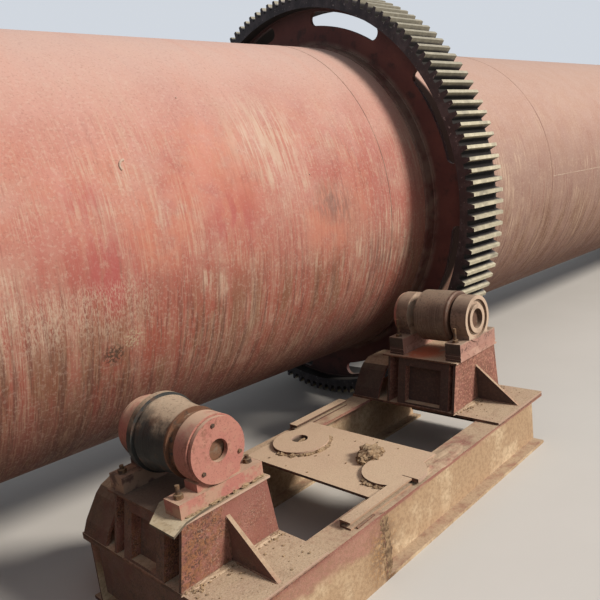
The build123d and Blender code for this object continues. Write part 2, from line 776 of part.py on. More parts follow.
left_journal_near = left_near_face_w + journal_setback
left_journal_far = left_far_face_w - journal_setback
left_body_near = left_near_face_w + housing_length + roller_gap
left_body_far = left_far_face_w - housing_length - roller_gap_far
left_body_length = left_body_far - left_body_near
roller("left", left_axis_u, left_axis_z, [
    (left_journal_near, 0),
    (left_journal_near, journal_r),
    (left_body_near, journal_r),
    (left_body_near, left_tread_r - 18),
    (left_body_near + 0.1 * left_body_length, left_tread_r - 16),
    (left_body_near + 0.1 * left_body_length, left_tread_r),
    (left_body_near + 0.13 * left_body_length, left_tread_r),
    (left_body_near + 0.145 * left_body_length, left_tread_r - 4),
    (left_body_far - 0.555 * left_body_length, left_tread_r),
    (left_body_far - 0.32 * left_body_length, left_tread_r + 7),
    (left_body_far - 0.2 * left_body_length, left_rim_r - 8),
    (left_body_far - 0.175 * left_body_length, left_rim_r - 12),
    (left_body_far - 0.137 * left_body_length, left_rim_r - 12),
    (left_body_far - 0.128 * left_body_length, left_rim_r),
    (left_body_far - 0.013 * left_body_length, left_rim_r),
    (left_body_far, left_rim_r - 3),
    (left_body_far, journal_r),
    (left_journal_far, journal_r),
    (left_journal_far, 0),
])

right_journal_near = right_near_face_w + journal_setback
right_journal_far = right_far_face_w - journal_setback
right_body_near = right_near_face_w + housing_length + roller_gap
right_neck_far = right_far_face_w - housing_length - roller_gap
right_body_far = right_body_near + right_tread_share * (right_neck_far - right_body_near)
roller("right", right_axis_u, right_axis_z, [
    (right_journal_near, 0),
    (right_journal_near, journal_r),
    (right_body_near, journal_r),
    (right_body_near, right_tread_r - 7),
    (right_body_near + 7, right_tread_r),
    (right_body_far - 7, right_tread_r),
    (right_body_far, right_tread_r - 7),
    (right_body_far, right_neck_r),
    (right_neck_far, right_neck_r),
    (right_neck_far, journal_r),
    (right_journal_far, journal_r),
    (right_journal_far, 0),
])
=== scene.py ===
# %% [markdown]
# A used rotary drum dryer lies in a yard: a red drum with its girth gear, and one station of support
# rollers beside it. The CAD model gives every steel piece at its real place, so this lesson only adds
# what the eye needs: faded paint, rust, dust and grease, and the welds, bolts and soil that are too
# small for the CAD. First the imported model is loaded, and its box is kept to compare with at the end.

# %% Load the frame
import math
import random

import bmesh
import bpy
from mathutils import Matrix, Vector, noise


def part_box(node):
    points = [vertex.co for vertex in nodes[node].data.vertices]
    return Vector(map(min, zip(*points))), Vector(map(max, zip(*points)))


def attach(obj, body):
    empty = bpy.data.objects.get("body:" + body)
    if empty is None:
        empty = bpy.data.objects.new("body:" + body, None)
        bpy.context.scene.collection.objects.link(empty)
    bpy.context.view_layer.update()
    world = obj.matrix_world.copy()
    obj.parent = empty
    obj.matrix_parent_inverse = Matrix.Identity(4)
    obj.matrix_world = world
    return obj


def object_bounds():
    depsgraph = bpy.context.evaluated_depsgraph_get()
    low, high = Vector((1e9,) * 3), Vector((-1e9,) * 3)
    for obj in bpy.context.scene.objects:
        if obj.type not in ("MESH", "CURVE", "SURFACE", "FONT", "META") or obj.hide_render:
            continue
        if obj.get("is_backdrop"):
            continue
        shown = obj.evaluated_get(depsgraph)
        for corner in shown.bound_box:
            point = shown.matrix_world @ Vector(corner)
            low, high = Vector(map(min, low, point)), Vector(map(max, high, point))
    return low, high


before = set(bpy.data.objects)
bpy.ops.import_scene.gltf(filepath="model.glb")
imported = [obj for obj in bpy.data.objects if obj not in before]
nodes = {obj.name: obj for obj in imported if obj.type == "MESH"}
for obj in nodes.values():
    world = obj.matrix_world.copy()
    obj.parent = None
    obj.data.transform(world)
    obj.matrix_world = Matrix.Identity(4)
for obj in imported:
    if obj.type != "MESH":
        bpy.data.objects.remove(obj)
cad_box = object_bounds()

print("pieces from CAD:", len(nodes))

# %% [markdown]
# Nearly everything is placed from two things: the drum's axis, and the station's own floor, which is
# turned a little against the drum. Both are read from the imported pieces. Along the station, u runs
# from its left end, w is the depth from its near edge, and z is the height above the ground.

# %% The drum's axis and the station's floor
shell_low, shell_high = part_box("shell_gear_course")
drum_y = (shell_low.y + shell_high.y) / 2
drum_z = (shell_low.z + shell_high.z) / 2
shell_r = (shell_high.z - shell_low.z) / 2
drum_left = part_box("shell_left_section")[0].x
drum_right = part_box("shell_right_section")[1].x
course_length = shell_high.x - shell_low.x

station_turn = math.radians(3.06)
flange_width = 0.122
frame_width = 0.9
beam_low, beam_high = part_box("frame_beam_near")
beam_z = beam_high.z
station_corner = Vector((beam_low.x + flange_width * math.sin(station_turn), beam_low.y, 0.0))
station = Matrix.Translation(station_corner) @ Matrix.Rotation(station_turn, 4, "Z")
depth_way = (station.to_3x3() @ Vector((0.0, 1.0, 0.0))).normalized()
plate_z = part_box("foot_plate_left")[1].z
left_top_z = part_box("top_plate_left")[1].z
right_top_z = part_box("top_plate_right")[1].z
left_axis_u = 0.227
right_axis_u = 1.938
left_axis_z = sum(corner.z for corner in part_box("roller_left")) / 2
right_axis_z = sum(corner.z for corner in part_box("roller_right")) / 2
print("drum radius", round(shell_r, 3), "roller axes", round(left_axis_z, 3), round(right_axis_z, 3))


def drum_point(x, turn):
    # a point on the shell; a turn of 90 degrees is the top and 180 the side of the station
    turn = math.radians(turn)
    return Vector((x, drum_y + shell_r * math.cos(turn), drum_z + shell_r * math.sin(turn)))


def station_point(u, w, z):
    return station @ Vector((u, w, z))


# %% [markdown]
# The camera stands at head height, close to the station, and was found together with the sizes of the
# drum, gear and station. It looks 42 degrees to the right of square, 11 degrees down, and leans
# a little to one side, as a hand-held camera does.

# %% Camera
camera_place = Vector((-4.6268, -3.0168, 1.5683))
camera_yaw = 0.73248
camera_pitch = 0.19543
camera_roll = 0.1178
ahead = Vector((
    math.sin(camera_yaw) * math.cos(camera_pitch),
    math.cos(camera_yaw) * math.cos(camera_pitch),
    -math.sin(camera_pitch),
))
level_right = Vector((math.cos(camera_yaw), -math.sin(camera_yaw), 0.0))
level_down = ahead.cross(level_right)
lens_right = level_right * math.cos(camera_roll) + level_down * math.sin(camera_roll)
lens_down = level_down * math.cos(camera_roll) - level_right * math.sin(camera_roll)
camera_turn = Matrix((lens_right, -lens_down, -ahead)).transposed()


def add_object(name, data):
    thing = bpy.data.objects.new(name, data)
    bpy.context.scene.collection.objects.link(thing)
    return thing


camera_data = bpy.data.cameras.new("yard_camera")
camera_data.lens = 38.317
camera_data.sensor_width = 36.0
camera_data.clip_end = 400.0
camera = add_object("yard_camera", camera_data)
camera.matrix_world = Matrix.Translation(camera_place) @ camera_turn.to_4x4()
bpy.context.scene.camera = camera
print("camera at", [round(c, 2) for c in camera_place], "lens", camera_data.lens)

# %% [markdown]
# Shader nodes are set up through a few small helpers, so that each recipe further down reads like
# a list of layers. A layer is a mask, from 0 to 1, that blends one colour over another.

# %% Helpers for shader nodes
def feed(tree, socket, value):
    # gives a socket another socket's output, a number, or a colour as red, green and blue
    if isinstance(value, bpy.types.NodeSocket):
        tree.links.new(value, socket)
    elif socket.type == "RGBA":
        socket.default_value = (*value, 1.0)
    else:
        socket.default_value = value


def put(tree, kind, inputs=None, **settings):
    # a new node: first its settings, which decide what inputs it has, and then what goes into them
    node = tree.nodes.new(kind)
    for name, value in settings.items():
        setattr(node, name, value)
    for place, value in (inputs or {}).items():
        feed(tree, node.inputs[place], value)
    return node


def calc(tree, operation, first, second=0.0, clamp=False):
    inputs = {0: first, 1: second}
    return put(tree, "ShaderNodeMath", inputs, operation=operation, use_clamp=clamp).outputs[0]


def both(tree, first, *others):
    # where all the masks are on
    for other in others:
        first = calc(tree, "MULTIPLY", first, other)
    return first


def rise(tree, value, low, high, bottom=0.0, top=1.0):
    # bottom below low, top above high, and smooth between them
    inputs = {"Value": value, "From Min": low, "From Max": high, "To Min": bottom, "To Max": top}
    return put(tree, "ShaderNodeMapRange", inputs, interpolation_type="SMOOTHSTEP").outputs["Result"]


def layer(tree, mask, under, over):
    # the colour over, where the mask says, on the colour under
    inputs = {"Factor": mask, "A": under, "B": over}
    return put(tree, "ShaderNodeMix", inputs, data_type="RGBA").outputs["Result"]


# %% [markdown]
# The light is a low winter sun from the front right, softened by haze. The sky is brighter on that
# side than on the left, where trees and sheds stand in a real yard, so the faces that look left stay
# dark. The camera itself sees one pale tone. The floor is plain and pale and belongs to the stage.

# %% Light and floor
sun_way = Vector((0.38, -0.73, 0.56)).normalized()
sun_data = bpy.data.lights.new("soft_sun", "SUN")
sun_data.energy = 3.5
sun_data.angle = math.radians(14.0)
sun_data.color = (1.0, 0.92, 0.83)
sun = add_object("soft_sun", sun_data)
sun.rotation_euler = sun_way.to_track_quat("Z", "Y").to_euler()

sky = bpy.data.worlds.new("pale_sky")
sky.use_nodes = True
sky_tree = sky.node_tree
sky_way = put(sky_tree, "ShaderNodeTexCoord").outputs["Generated"]
sky_side = put(sky_tree, "ShaderNodeSeparateXYZ", {0: sky_way})
sky_light = rise(sky_tree, sky_side.outputs["X"], -0.45, 0.55, 0.34, 0.72)
sky_seen = put(sky_tree, "ShaderNodeLightPath").outputs["Is Camera Ray"]
sky_strength = rise(sky_tree, sky_seen, 0.0, 1.0, sky_light, 0.8)
background = sky_tree.nodes["Background"].inputs
feed(sky_tree, background["Color"], (0.8, 0.85, 0.92))
feed(sky_tree, background["Strength"], sky_strength)
bpy.context.scene.world = sky
bpy.context.scene.view_settings.view_transform = "Standard"

floor_mesh = bmesh.new()
bmesh.ops.create_grid(floor_mesh, x_segments=1, y_segments=1, size=90.0)
floor_data = bpy.data.meshes.new("pale_floor")
floor_mesh.to_mesh(floor_data)
floor_mesh.free()
pale_floor = add_object("pale_floor", floor_data)
pale_floor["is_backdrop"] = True
print("sun from", [round(c, 2) for c in sun_way])

# %% [markdown]
# Four effects show on nearly every piece, so each is a node group: blotches of rust or wear, thin runs
# left by rain, dust that settles on what faces up, and the fine roughness of old paint on plate. All
# of them work on the object's own coordinates, so they stay with a piece when it turns.

# %% Node groups shared by the finishes
def start_group(name, arrows, numbers, output):
    # a group with vector inputs, number inputs with their usual values, and one number put out
    group = bpy.data.node_groups.new(name, "ShaderNodeTree")
    for label in arrows:
        group.interface.new_socket(name=label, in_out="INPUT", socket_type="NodeSocketVector")
    for label, usual in numbers.items():
        socket = group.interface.new_socket(name=label, in_out="INPUT", socket_type="NodeSocketFloat")
        socket.default_value = usual
    group.interface.new_socket(name=output, in_out="OUTPUT", socket_type="NodeSocketFloat")
    return group, group.nodes.new("NodeGroupInput").outputs, group.nodes.new("NodeGroupOutput").inputs


def cloudy(group, vector, scale, detail, roughness, distortion=0.0):
    inputs = {"Vector": vector, "Scale": scale, "Detail": detail}
    inputs |= {"Roughness": roughness, "Distortion": distortion}
    return put(group, "ShaderNodeTexNoise", inputs).outputs["Fac"]


blotches, given, result = start_group(
    "blotches", ["Vector"], {"Scale": 6.0, "Low": 0.5, "High": 0.6}, "Mask"
)
blotch_cloud = cloudy(blotches, given["Vector"], given["Scale"], 6.0, 0.6)
feed(blotches, result["Mask"], rise(blotches, blotch_cloud, given["Low"], given["High"]))

runs, given, result = start_group(
    "rain_runs", ["Vector"], {"Across": 20.0, "Along": 0.8, "Low": 0.5, "High": 0.6}, "Mask"
)
squeeze = {"X": given["Across"], "Y": given["Along"], "Z": given["Along"]}
squeeze = put(runs, "ShaderNodeCombineXYZ", squeeze).outputs["Vector"]
run_place = put(runs, "ShaderNodeMapping", {"Vector": given["Vector"], "Scale": squeeze})
run_cloud = cloudy(runs, run_place.outputs["Vector"], 1.0, 6.0, 0.64, distortion=0.3)
feed(runs, result["Mask"], rise(runs, run_cloud, given["Low"], given["High"]))

dust, given, result = start_group(
    "settled_dust", ["Vector", "Normal"], {"Amount": 1.0, "Scale": 9.0}, "Mask"
)
facing = put(dust, "ShaderNodeSeparateXYZ", {0: given["Normal"]})
up_mask = rise(dust, facing.outputs["Z"], 0.35, 0.95)
thin_mask = rise(dust, cloudy(dust, given["Vector"], given["Scale"], 6.0, 0.65), 0.24, 0.56)
feed(dust, result["Mask"], calc(dust, "MULTIPLY", both(dust, up_mask, thin_mask), given["Amount"], True))

skin, given, result = start_group("old_paint_skin", ["Vector"], {"Scale": 60.0}, "Height")
pit_scale = calc(skin, "MULTIPLY", given["Scale"], 0.7)
skin_pits = put(skin, "ShaderNodeTexVoronoi", {"Vector": given["Vector"], "Scale": pit_scale})
pit_mask = rise(skin, skin_pits.outputs["Distance"], 0.0, 0.35, 0.0, 0.35)
skin_cloud = cloudy(skin, given["Vector"], given["Scale"], 8.0, 0.7)
feed(skin, result["Height"], calc(skin, "ADD", skin_cloud, pit_mask))
print("node groups:", [group.name for group in (blotches, runs, dust, skin)])

# %% [markdown]
# Every finish starts the same way: a Principled shader, the object's own coordinates and normal, and
# a bump made from the skin group. Its methods give masks, and `over` lays a share of one more colour
# where all of its masks are on. The last colour goes into the shader when the finish is closed.

# %% Starting, layering and closing a finish
class Finish:
    def __init__(self, name, base, skin_scale, bump_depth, metallic=0.0):
        self.material = bpy.data.materials.new(name)
        self.material.use_nodes = True
        self.tree = self.material.node_tree
        self.shader = self.tree.nodes["Principled BSDF"]
        self.shader.inputs["Metallic"].default_value = metallic
        self.base = base
        place = put(self.tree, "ShaderNodeTexCoord")
        self.place = place.outputs["Object"]
        self.normal = place.outputs["Normal"]
        self.height = self.group(skin, Vector=self.place, Scale=skin_scale)
        self.bump_depth = bump_depth
        self.x, self.y, self.z = self.split(self.place)
        self.facing_x, self.facing_y, self.facing_z = self.split(self.normal)

    def split(self, arrow):
        return put(self.tree, "ShaderNodeSeparateXYZ", {0: arrow}).outputs

    def group(self, which, **inputs):
        return put(self.tree, "ShaderNodeGroup", inputs, node_tree=which).outputs[0]

    def blotch(self, scale, low, high):
        return self.group(blotches, Vector=self.place, Scale=scale, Low=low, High=high)

    def rain(self, across, along, low, high):
        return self.group(runs, Vector=self.place, Across=across, Along=along, Low=low, High=high)

    def dusty(self, amount, scale):
        return self.group(dust, Vector=self.place, Normal=self.normal, Amount=amount, Scale=scale)

    def up(self, low, high, bottom=0.0, top=1.0):
        # by how far a face looks up: 1 is straight up and -1 straight down
        return rise(self.tree, self.facing_z, low, high, bottom, top)

    def right(self, low, high):
        return rise(self.tree, self.facing_x, low, high)

    def back(self, low, high):
        return rise(self.tree, self.facing_y, low, high)

    def spot(self, centre, reach, core=0.4):
        # 1 near this point and 0 beyond the reach
        away = put(self.tree, "ShaderNodeVectorMath", {0: self.place, 1: centre}, operation="DISTANCE")
        return rise(self.tree, away.outputs["Value"], reach, reach * core)

    def over(self, share, paint, *masks):
        mask = calc(self.tree, "MULTIPLY", both(self.tree, *masks), share)
        self.base = layer(self.tree, mask, self.base, paint)

    def close(self, roughness):
        feed(self.tree, self.shader.inputs["Base Color"], self.base)
        feed(self.tree, self.shader.inputs["Roughness"], roughness)
        inputs = {"Strength": 0.7, "Distance": self.bump_depth, "Height": self.height}
        bump = put(self.tree, "ShaderNodeBump", inputs)
        feed(self.tree, self.shader.inputs["Normal"], bump.outputs["Normal"])
        print("finish", self.material.name, "nodes:", len(self.tree.nodes))
        return self.material


def from_left_end(finish, low, high, bottom=0.0, top=1.0):
    # by the distance to the right of the station's left end
    return rise(finish.tree, finish.x, station_corner.x + low, station_corner.x + high, bottom, top)


def from_front_edge(finish):
    # distance of a point behind the near edge of the station
    tree = finish.tree
    along_x = calc(tree, "MULTIPLY", finish.x, depth_way.x)
    along_y = calc(tree, "MULTIPLY", finish.y, depth_way.y)
    return calc(tree, "SUBTRACT", calc(tree, "ADD", along_x, along_y), station_corner.dot(depth_way))


def from_axis(finish, low, high):
    # by the distance of a point from the drum's axis
    tree = finish.tree
    across = calc(tree, "SUBTRACT", finish.y, drum_y)
    up = calc(tree, "SUBTRACT", finish.z, drum_z)
    squares = calc(tree, "ADD", both(tree, across, across), both(tree, up, up))
    return rise(tree, calc(tree, "SQRT", squares), low, high)


# %% [markdown]
# The drum was painted red oxide. The sun has bleached its upper side to a chalky pink, and lower down
# coral, deeper red and sand-coloured patches lie side by side. Rain has drawn thousands of short thin
# runs of pale dust down its flanks. The runs follow the curve of the shell, so their noise is squeezed
# along the drum and drawn out around it. The lower side and the underside are darkened as painted
# shade. Old grease lies beside the gear, shaped partly as a painted shadow of the gear, and behind its
# web the drum is near black with soot and painted shade.

# %% Drum paint
gear_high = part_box("gear_ring_upper")[1]
web_low, web_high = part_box("gear_web")


def make_drum_paint():
    f = Finish("faded_drum_paint", (0.4, 0.122, 0.092), 60.0, 0.0012)
    t = f.tree
    f.over(1.0, (0.47, 0.19, 0.145), f.blotch(1.2, 0.38, 0.6))
    f.over(0.6, (0.5, 0.2, 0.132), f.blotch(2.1, 0.5, 0.64))
    f.over(0.5, (0.47, 0.255, 0.195), f.blotch(5.0, 0.46, 0.64))
    f.over(0.9, (0.57, 0.385, 0.32), f.up(0.24, 0.92))
    f.over(0.35, (0.56, 0.3, 0.235), f.up(0.1, 0.5), f.rain(9.0, 1.0, 0.46, 0.62))
    right_side = rise(t, f.x, gear_high.x - 0.1, gear_high.x + 0.4)
    f.over(0.75, (0.44, 0.29, 0.225), right_side)
    # painted shade: the lower side right of the gear is darkened
    f.over(0.6, (0.25, 0.155, 0.12), right_side, f.up(0.55, -0.1))
    left_side = rise(t, f.x, gear_high.x + 0.1, gear_high.x - 0.1)
    f.over(0.85, (0.325, 0.084, 0.055), left_side, f.up(0.1, -0.36))
    f.over(0.3, (0.48, 0.29, 0.215), left_side, f.up(0.25, -0.05), f.rain(12.0, 1.2, 0.46, 0.62))
    f.over(0.7, (0.215, 0.11, 0.06), f.rain(7.0, 1.6, 0.44, 0.58), f.up(-0.06, -0.35))
    # painted shade: the underside is darkened
    f.over(0.75, (0.15, 0.06, 0.048), f.up(-0.36, -0.8))
    return f


def add_drum_runs(f):
    # pale dust in thin runs, finer ones between them, and brown ones low down
    side = both(f.tree, f.up(0.8, 0.1), f.up(-0.8, -0.15, 0.3, 1.0))
    patches = both(f.tree, f.blotch(2.4, 0.44, 0.62), f.blotch(8.0, 0.36, 0.56))
    beige = (0.56, 0.405, 0.3)
    f.over(0.75, beige, side, patches, f.rain(70.0, 3.0, 0.49, 0.59))
    f.over(0.38, beige, side, f.blotch(4.0, 0.42, 0.6), f.rain(170.0, 6.0, 0.48, 0.58))
    f.over(0.42, (0.23, 0.072, 0.052), side, f.blotch(3.2, 0.46, 0.6), f.rain(90.0, 3.0, 0.51, 0.61))
    f.over(0.6, (0.12, 0.05, 0.036), f.up(0.1, -0.4), f.rain(50.0, 2.4, 0.5, 0.62))
    f.over(0.28, (0.5, 0.34, 0.22), f.up(0.1, -0.4), f.rain(130.0, 9.0, 0.52, 0.6))
    f.over(0.24, (0.6, 0.44, 0.35), f.blotch(75.0, 0.52, 0.62))
    f.over(0.26, (0.21, 0.08, 0.056), f.blotch(100.0, 0.55, 0.65))


def add_drum_marks(f):
    # marks that stand at their own places on the drum: red patches, a lime band and dark stains
    orange = (0.55, 0.205, 0.13)
    for x, turn, reach in ((-2.99, 164.0, 0.34), (-2.37, 181.5, 0.24), (-3.3, 176.0, 0.22)):
        f.over(0.5, orange, f.spot(drum_point(x, turn), reach), f.blotch(9.0, 0.34, 0.58))
    crimson = (0.39, 0.072, 0.072)
    for x, turn, reach in (
        (-3.545, 188.0, 0.16), (-3.56, 181.0, 0.2), (-2.95, 177.0, 0.2), (-3.6, 168.0, 0.12)
    ):
        f.over(0.55, crimson, f.spot(drum_point(x, turn), reach, 0.1), f.rain(18.0, 4.0, 0.4, 0.54))
    flecks = (0.58, 0.44, 0.33)
    band = both(f.tree, rise(f.tree, f.x, -3.3, -3.48), f.up(-0.05, -0.14), f.up(-0.4, -0.2))
    f.over(0.55, flecks, band, f.rain(240.0, 60.0, 0.46, 0.56), f.rain(26.0, 5.0, 0.32, 0.56))
    f.over(0.65, flecks, f.spot(drum_point(-2.65, 157.0), 0.3, 0.3), f.rain(60.0, 5.0, 0.44, 0.58))
    pale_patch = f.spot(drum_point(-3.477, 199.5), 0.06)
    f.over(0.6, (0.56, 0.47, 0.31), pale_patch, f.blotch(110.0, 0.49, 0.56))
    dark_patch = f.spot(drum_point(-3.563, 202.4), 0.065)
    f.over(0.8, (0.05, 0.03, 0.018), dark_patch, f.blotch(90.0, 0.46, 0.54))
    for x, turn, reach in ((-2.37, 175.9, 0.15), (-2.27, 177.6, 0.15), (-1.95, 197.0, 0.22)):
        smudge = f.spot(drum_point(x, turn), reach, 0.1)
        f.over(0.55, (0.16, 0.085, 0.068), smudge, f.rain(50.0, 12.0, 0.34, 0.6))


def add_gear_dirt_and_shade(f):
    # grease beside the gear, partly a painted shadow of it: nearer the gear on the upper side; the bore is
    # bare rust
    t = f.tree
    toward_gear = calc(t, "SUBTRACT", f.x, calc(t, "MULTIPLY", f.facing_z, 0.13))
    left_of_gear = rise(t, toward_gear, web_low.x - 0.24, web_low.x - 0.05)
    right_of_gear = rise(t, f.x, web_high.x + 0.4, web_high.x + 0.2)
    f.over(0.35, (0.27, 0.16, 0.125), left_of_gear, right_of_gear, f.blotch(5.0, 0.18, 0.44))
    # painted shade with soot: the drum right of the web, which shows through the slots, is near black
    behind_web = rise(t, f.x, web_low.x - 0.02, web_low.x + 0.02)
    soot_and_shade = both(t, behind_web, rise(t, f.x, gear_high.x + 0.155, gear_high.x + 0.115))
    f.over(0.95, (0.016, 0.01, 0.009), soot_and_shade)
    inside = from_axis(f, shell_r - 0.002, shell_r - 0.006)
    f.over(1.0, (0.135, 0.066, 0.038), inside)
    f.over(0.8, (0.24, 0.135, 0.075), inside, f.rain(4.0, 2.0, 0.4, 0.65))
    return soot_and_shade


drum_finish = make_drum_paint()
add_drum_runs(drum_finish)
add_drum_marks(drum_finish)
soot_and_shade = add_gear_dirt_and_shade(drum_finish)
chalky = rise(drum_finish.tree, drum_finish.blotch(8.0, 0.3, 0.7), 0.0, 1.0, 0.66, 0.88)
# the soot and painted shade behind the web are near black, with almost no sheen
drum_paint = drum_finish.close(calc(drum_finish.tree, "ADD", chalky, soot_and_shade, True))
feed(drum_finish.tree, drum_finish.shader.inputs["Metallic"], soot_and_shade)

# %% [markdown]
# The gear was never painted. Old black grease still covers its near face, the roots of the teeth and
# the rim. The tips, which the pinion and the weather have rubbed, are bare grey-green steel with
# a film of dust. The web behind it keeps a dark maroon paint under the same grease.

# %% Greasy gear steel and dark web paint
gear_tip_r = gear_high.z - drum_z


def make_gear_steel():
    f = Finish("greasy_gear_steel", (0.026, 0.022, 0.028), 46.0, 0.002, metallic=0.15)
    t = f.tree
    f.over(1.0, (0.066, 0.056, 0.064), f.blotch(12.0, 0.42, 0.68))
    side = calc(t, "ABSOLUTE", f.facing_x)
    round_rim = rise(t, side, 0.8, 0.4)
    tips = from_axis(f, gear_tip_r - 0.026, gear_tip_r - 0.006)
    rubbed = both(t, tips, round_rim, rise(t, f.blotch(7.0, 0.25, 0.6), 0.0, 1.0, 0.55, 1.0))
    f.over(1.0, (0.53, 0.485, 0.355), rubbed)
    f.over(0.7, (0.72, 0.66, 0.49), rubbed, f.blotch(30.0, 0.44, 0.66))
    f.over(0.8, (0.3, 0.28, 0.28), f.blotch(45.0, 0.63, 0.69), rise(t, side, 0.4, 0.8))
    # the upper teeth are darker than those that reach eye level, and the roots are near black: thick dull
    # grease, and painted shade in the gaps
    f.over(0.62, (0.15, 0.145, 0.125), rubbed, rise(t, f.z, drum_z + 0.25, drum_z + 0.85))
    roots = both(t, from_axis(f, gear_tip_r - 0.022, gear_tip_r - 0.036), round_rim)
    f.over(0.9, (0.017, 0.014, 0.012), roots)
    return f.close(calc(t, "ADD", rise(t, rubbed, 0.0, 1.0, 0.42, 0.72), both(t, roots, 0.5)))


def make_web_paint():
    f = Finish("dark_web_paint", (0.11, 0.034, 0.03), 40.0, 0.002)
    f.over(1.0, (0.15, 0.05, 0.04), f.blotch(3.5, 0.35, 0.65))
    f.over(0.8, (0.042, 0.022, 0.02), f.blotch(11.0, 0.52, 0.7))
    f.over(0.7, (0.026, 0.018, 0.02), from_axis(f, gear_tip_r - 0.2, gear_tip_r - 0.08))
    by_shell = from_axis(f, shell_r + 0.05, shell_r + 0.02)
    f.over(0.85, (0.26, 0.165, 0.13), by_shell, f.blotch(8.0, 0.3, 0.6))
    f.over(1.0, (0.26, 0.19, 0.14), f.dusty(0.35, 10.0))
    return f.close(0.7)


gear_steel = make_gear_steel()
web_paint = make_web_paint()

# %% [markdown]
# The two riding rings are plain rolled steel. Rollers once polished their outer face, and light rust
# has come back over it since.

# %% Riding ring steel
def make_ring_steel():
    f = Finish("riding_ring_steel", (0.145, 0.07, 0.042), 50.0, 0.0015, metallic=0.35)
    t = f.tree
    f.over(1.0, (0.24, 0.125, 0.072), f.blotch(5.0, 0.4, 0.65))
    tread = from_axis(f, gear_tip_r - 0.012, gear_tip_r + 0.002)
    steel = layer(t, f.rain(60.0, 0.6, 0.4, 0.65), (0.27, 0.235, 0.2), (0.36, 0.32, 0.28))
    f.over(1.0, steel, tread, f.blotch(4.0, 0.62, 0.4))
    return f.close(rise(t, tread, 0.0, 1.0, 0.8, 0.55))


ring_steel = make_ring_steel()

# %% [markdown]
# The station is welded from plate and rolled beams. Its red paint is mostly orange-brown rust now, with
# fine pits a few millimetres wide, and pale dust lies on everything that faces up. Soil has splashed
# the web of the near beam. The faces that look left are darkened as painted shade.

# %% Station finishes
dust_colour = (0.5, 0.375, 0.25)


def make_frame_paint():
    f = Finish("rusty_frame_paint", (0.255, 0.1, 0.076), 110.0, 0.0022)
    t = f.tree
    f.over(1.0, (0.345, 0.155, 0.116), f.blotch(4.0, 0.38, 0.62))
    rusty = both(t, from_left_end(f, 0.34, 0.2, 0.22, 1.0), f.blotch(6.0, 0.38, 0.54))
    f.over(0.85, (0.27, 0.118, 0.05), rusty, f.blotch(45.0, 0.36, 0.56))
    f.over(0.45, (0.11, 0.05, 0.03), rusty, f.blotch(22.0, 0.52, 0.62))
    f.over(0.85, (0.066, 0.032, 0.023), rusty, f.blotch(135.0, 0.485, 0.545), f.blotch(34.0, 0.36, 0.54))
    # small pits, pale grit and what is left of the paint
    f.over(0.6, (0.11, 0.048, 0.034), f.blotch(150.0, 0.53, 0.6), f.blotch(11.0, 0.42, 0.58))
    f.over(0.4, (0.5, 0.34, 0.25), f.blotch(170.0, 0.53, 0.61), f.blotch(9.0, 0.4, 0.6))
    f.over(0.45, (0.24, 0.085, 0.066), f.rain(16.0, 16.0, 0.48, 0.62), f.up(0.4, 0.1))
    right_walls = both(t, from_left_end(f, 1.4, 1.6), rise(t, f.z, plate_z, plate_z + 0.01))
    f.over(0.45, (0.14, 0.066, 0.04), right_walls, f.blotch(55.0, 0.42, 0.58))
    f.over(0.5, (0.52, 0.27, 0.185), right_walls, f.blotch(80.0, 0.51, 0.59))
    # soil splashed on the web of the near beam, higher towards the right
    web_zone = both(t, rise(t, f.z, beam_z, beam_z - 0.03), f.back(-0.2, -0.8))
    f.over(0.6, (0.43, 0.235, 0.17), web_zone)
    low_part = rise(t, f.z, beam_z - 0.01, beam_z - 0.17)
    ragged = calc(t, "ADD", low_part, rise(t, f.blotch(6.0, 0.3, 0.7), 0.0, 1.0, 0.0, 0.5))
    splash = rise(t, calc(t, "ADD", ragged, from_left_end(f, 0.62, 0.95, 0.0, 0.55)), 0.6, 1.15)
    f.over(0.9, (0.46, 0.322, 0.192), web_zone, splash)
    f.over(0.7, (0.68, 0.54, 0.36), web_zone, splash, f.blotch(3.0, 0.44, 0.58))
    f.over(0.4, (0.25, 0.15, 0.085), web_zone, f.blotch(60.0, 0.44, 0.6))
    # rust where the box plate ends
    plate_end = both(t, web_zone, f.spot(station_point(0.775, 0.0, 0.12), 0.2, 0.1))
    f.over(0.85, (0.15, 0.08, 0.042), plate_end, f.blotch(34.0, 0.38, 0.52))
    end_band = both(t, web_zone, from_left_end(f, 0.725, 0.751), from_left_end(f, 0.815, 0.785))
    f.over(0.9, (0.13, 0.066, 0.032), end_band, f.blotch(22.0, 0.24, 0.44))
    f.over(0.7, (0.44, 0.24, 0.095), plate_end, f.blotch(90.0, 0.5, 0.58))
    f.over(0.95, dust_colour, f.dusty(1.0, 12.0))
    f.over(0.35, (0.27, 0.175, 0.11), f.blotch(90.0, 0.5, 0.6), f.up(0.4, 0.9))
    # painted shade on what looks left, darkest at the right pedestal in the lee of the drum
    left_faces_shade = f.right(-0.35, -0.75)
    f.over(0.62, (0.078, 0.06, 0.049), left_faces_shade)
    f.over(0.5, (0.13, 0.048, 0.036), left_faces_shade, f.blotch(7.0, 0.52, 0.62))
    f.over(0.6, (0.028, 0.022, 0.02), left_faces_shade, from_left_end(f, 1.2, 1.6))
    return f.close(0.88)


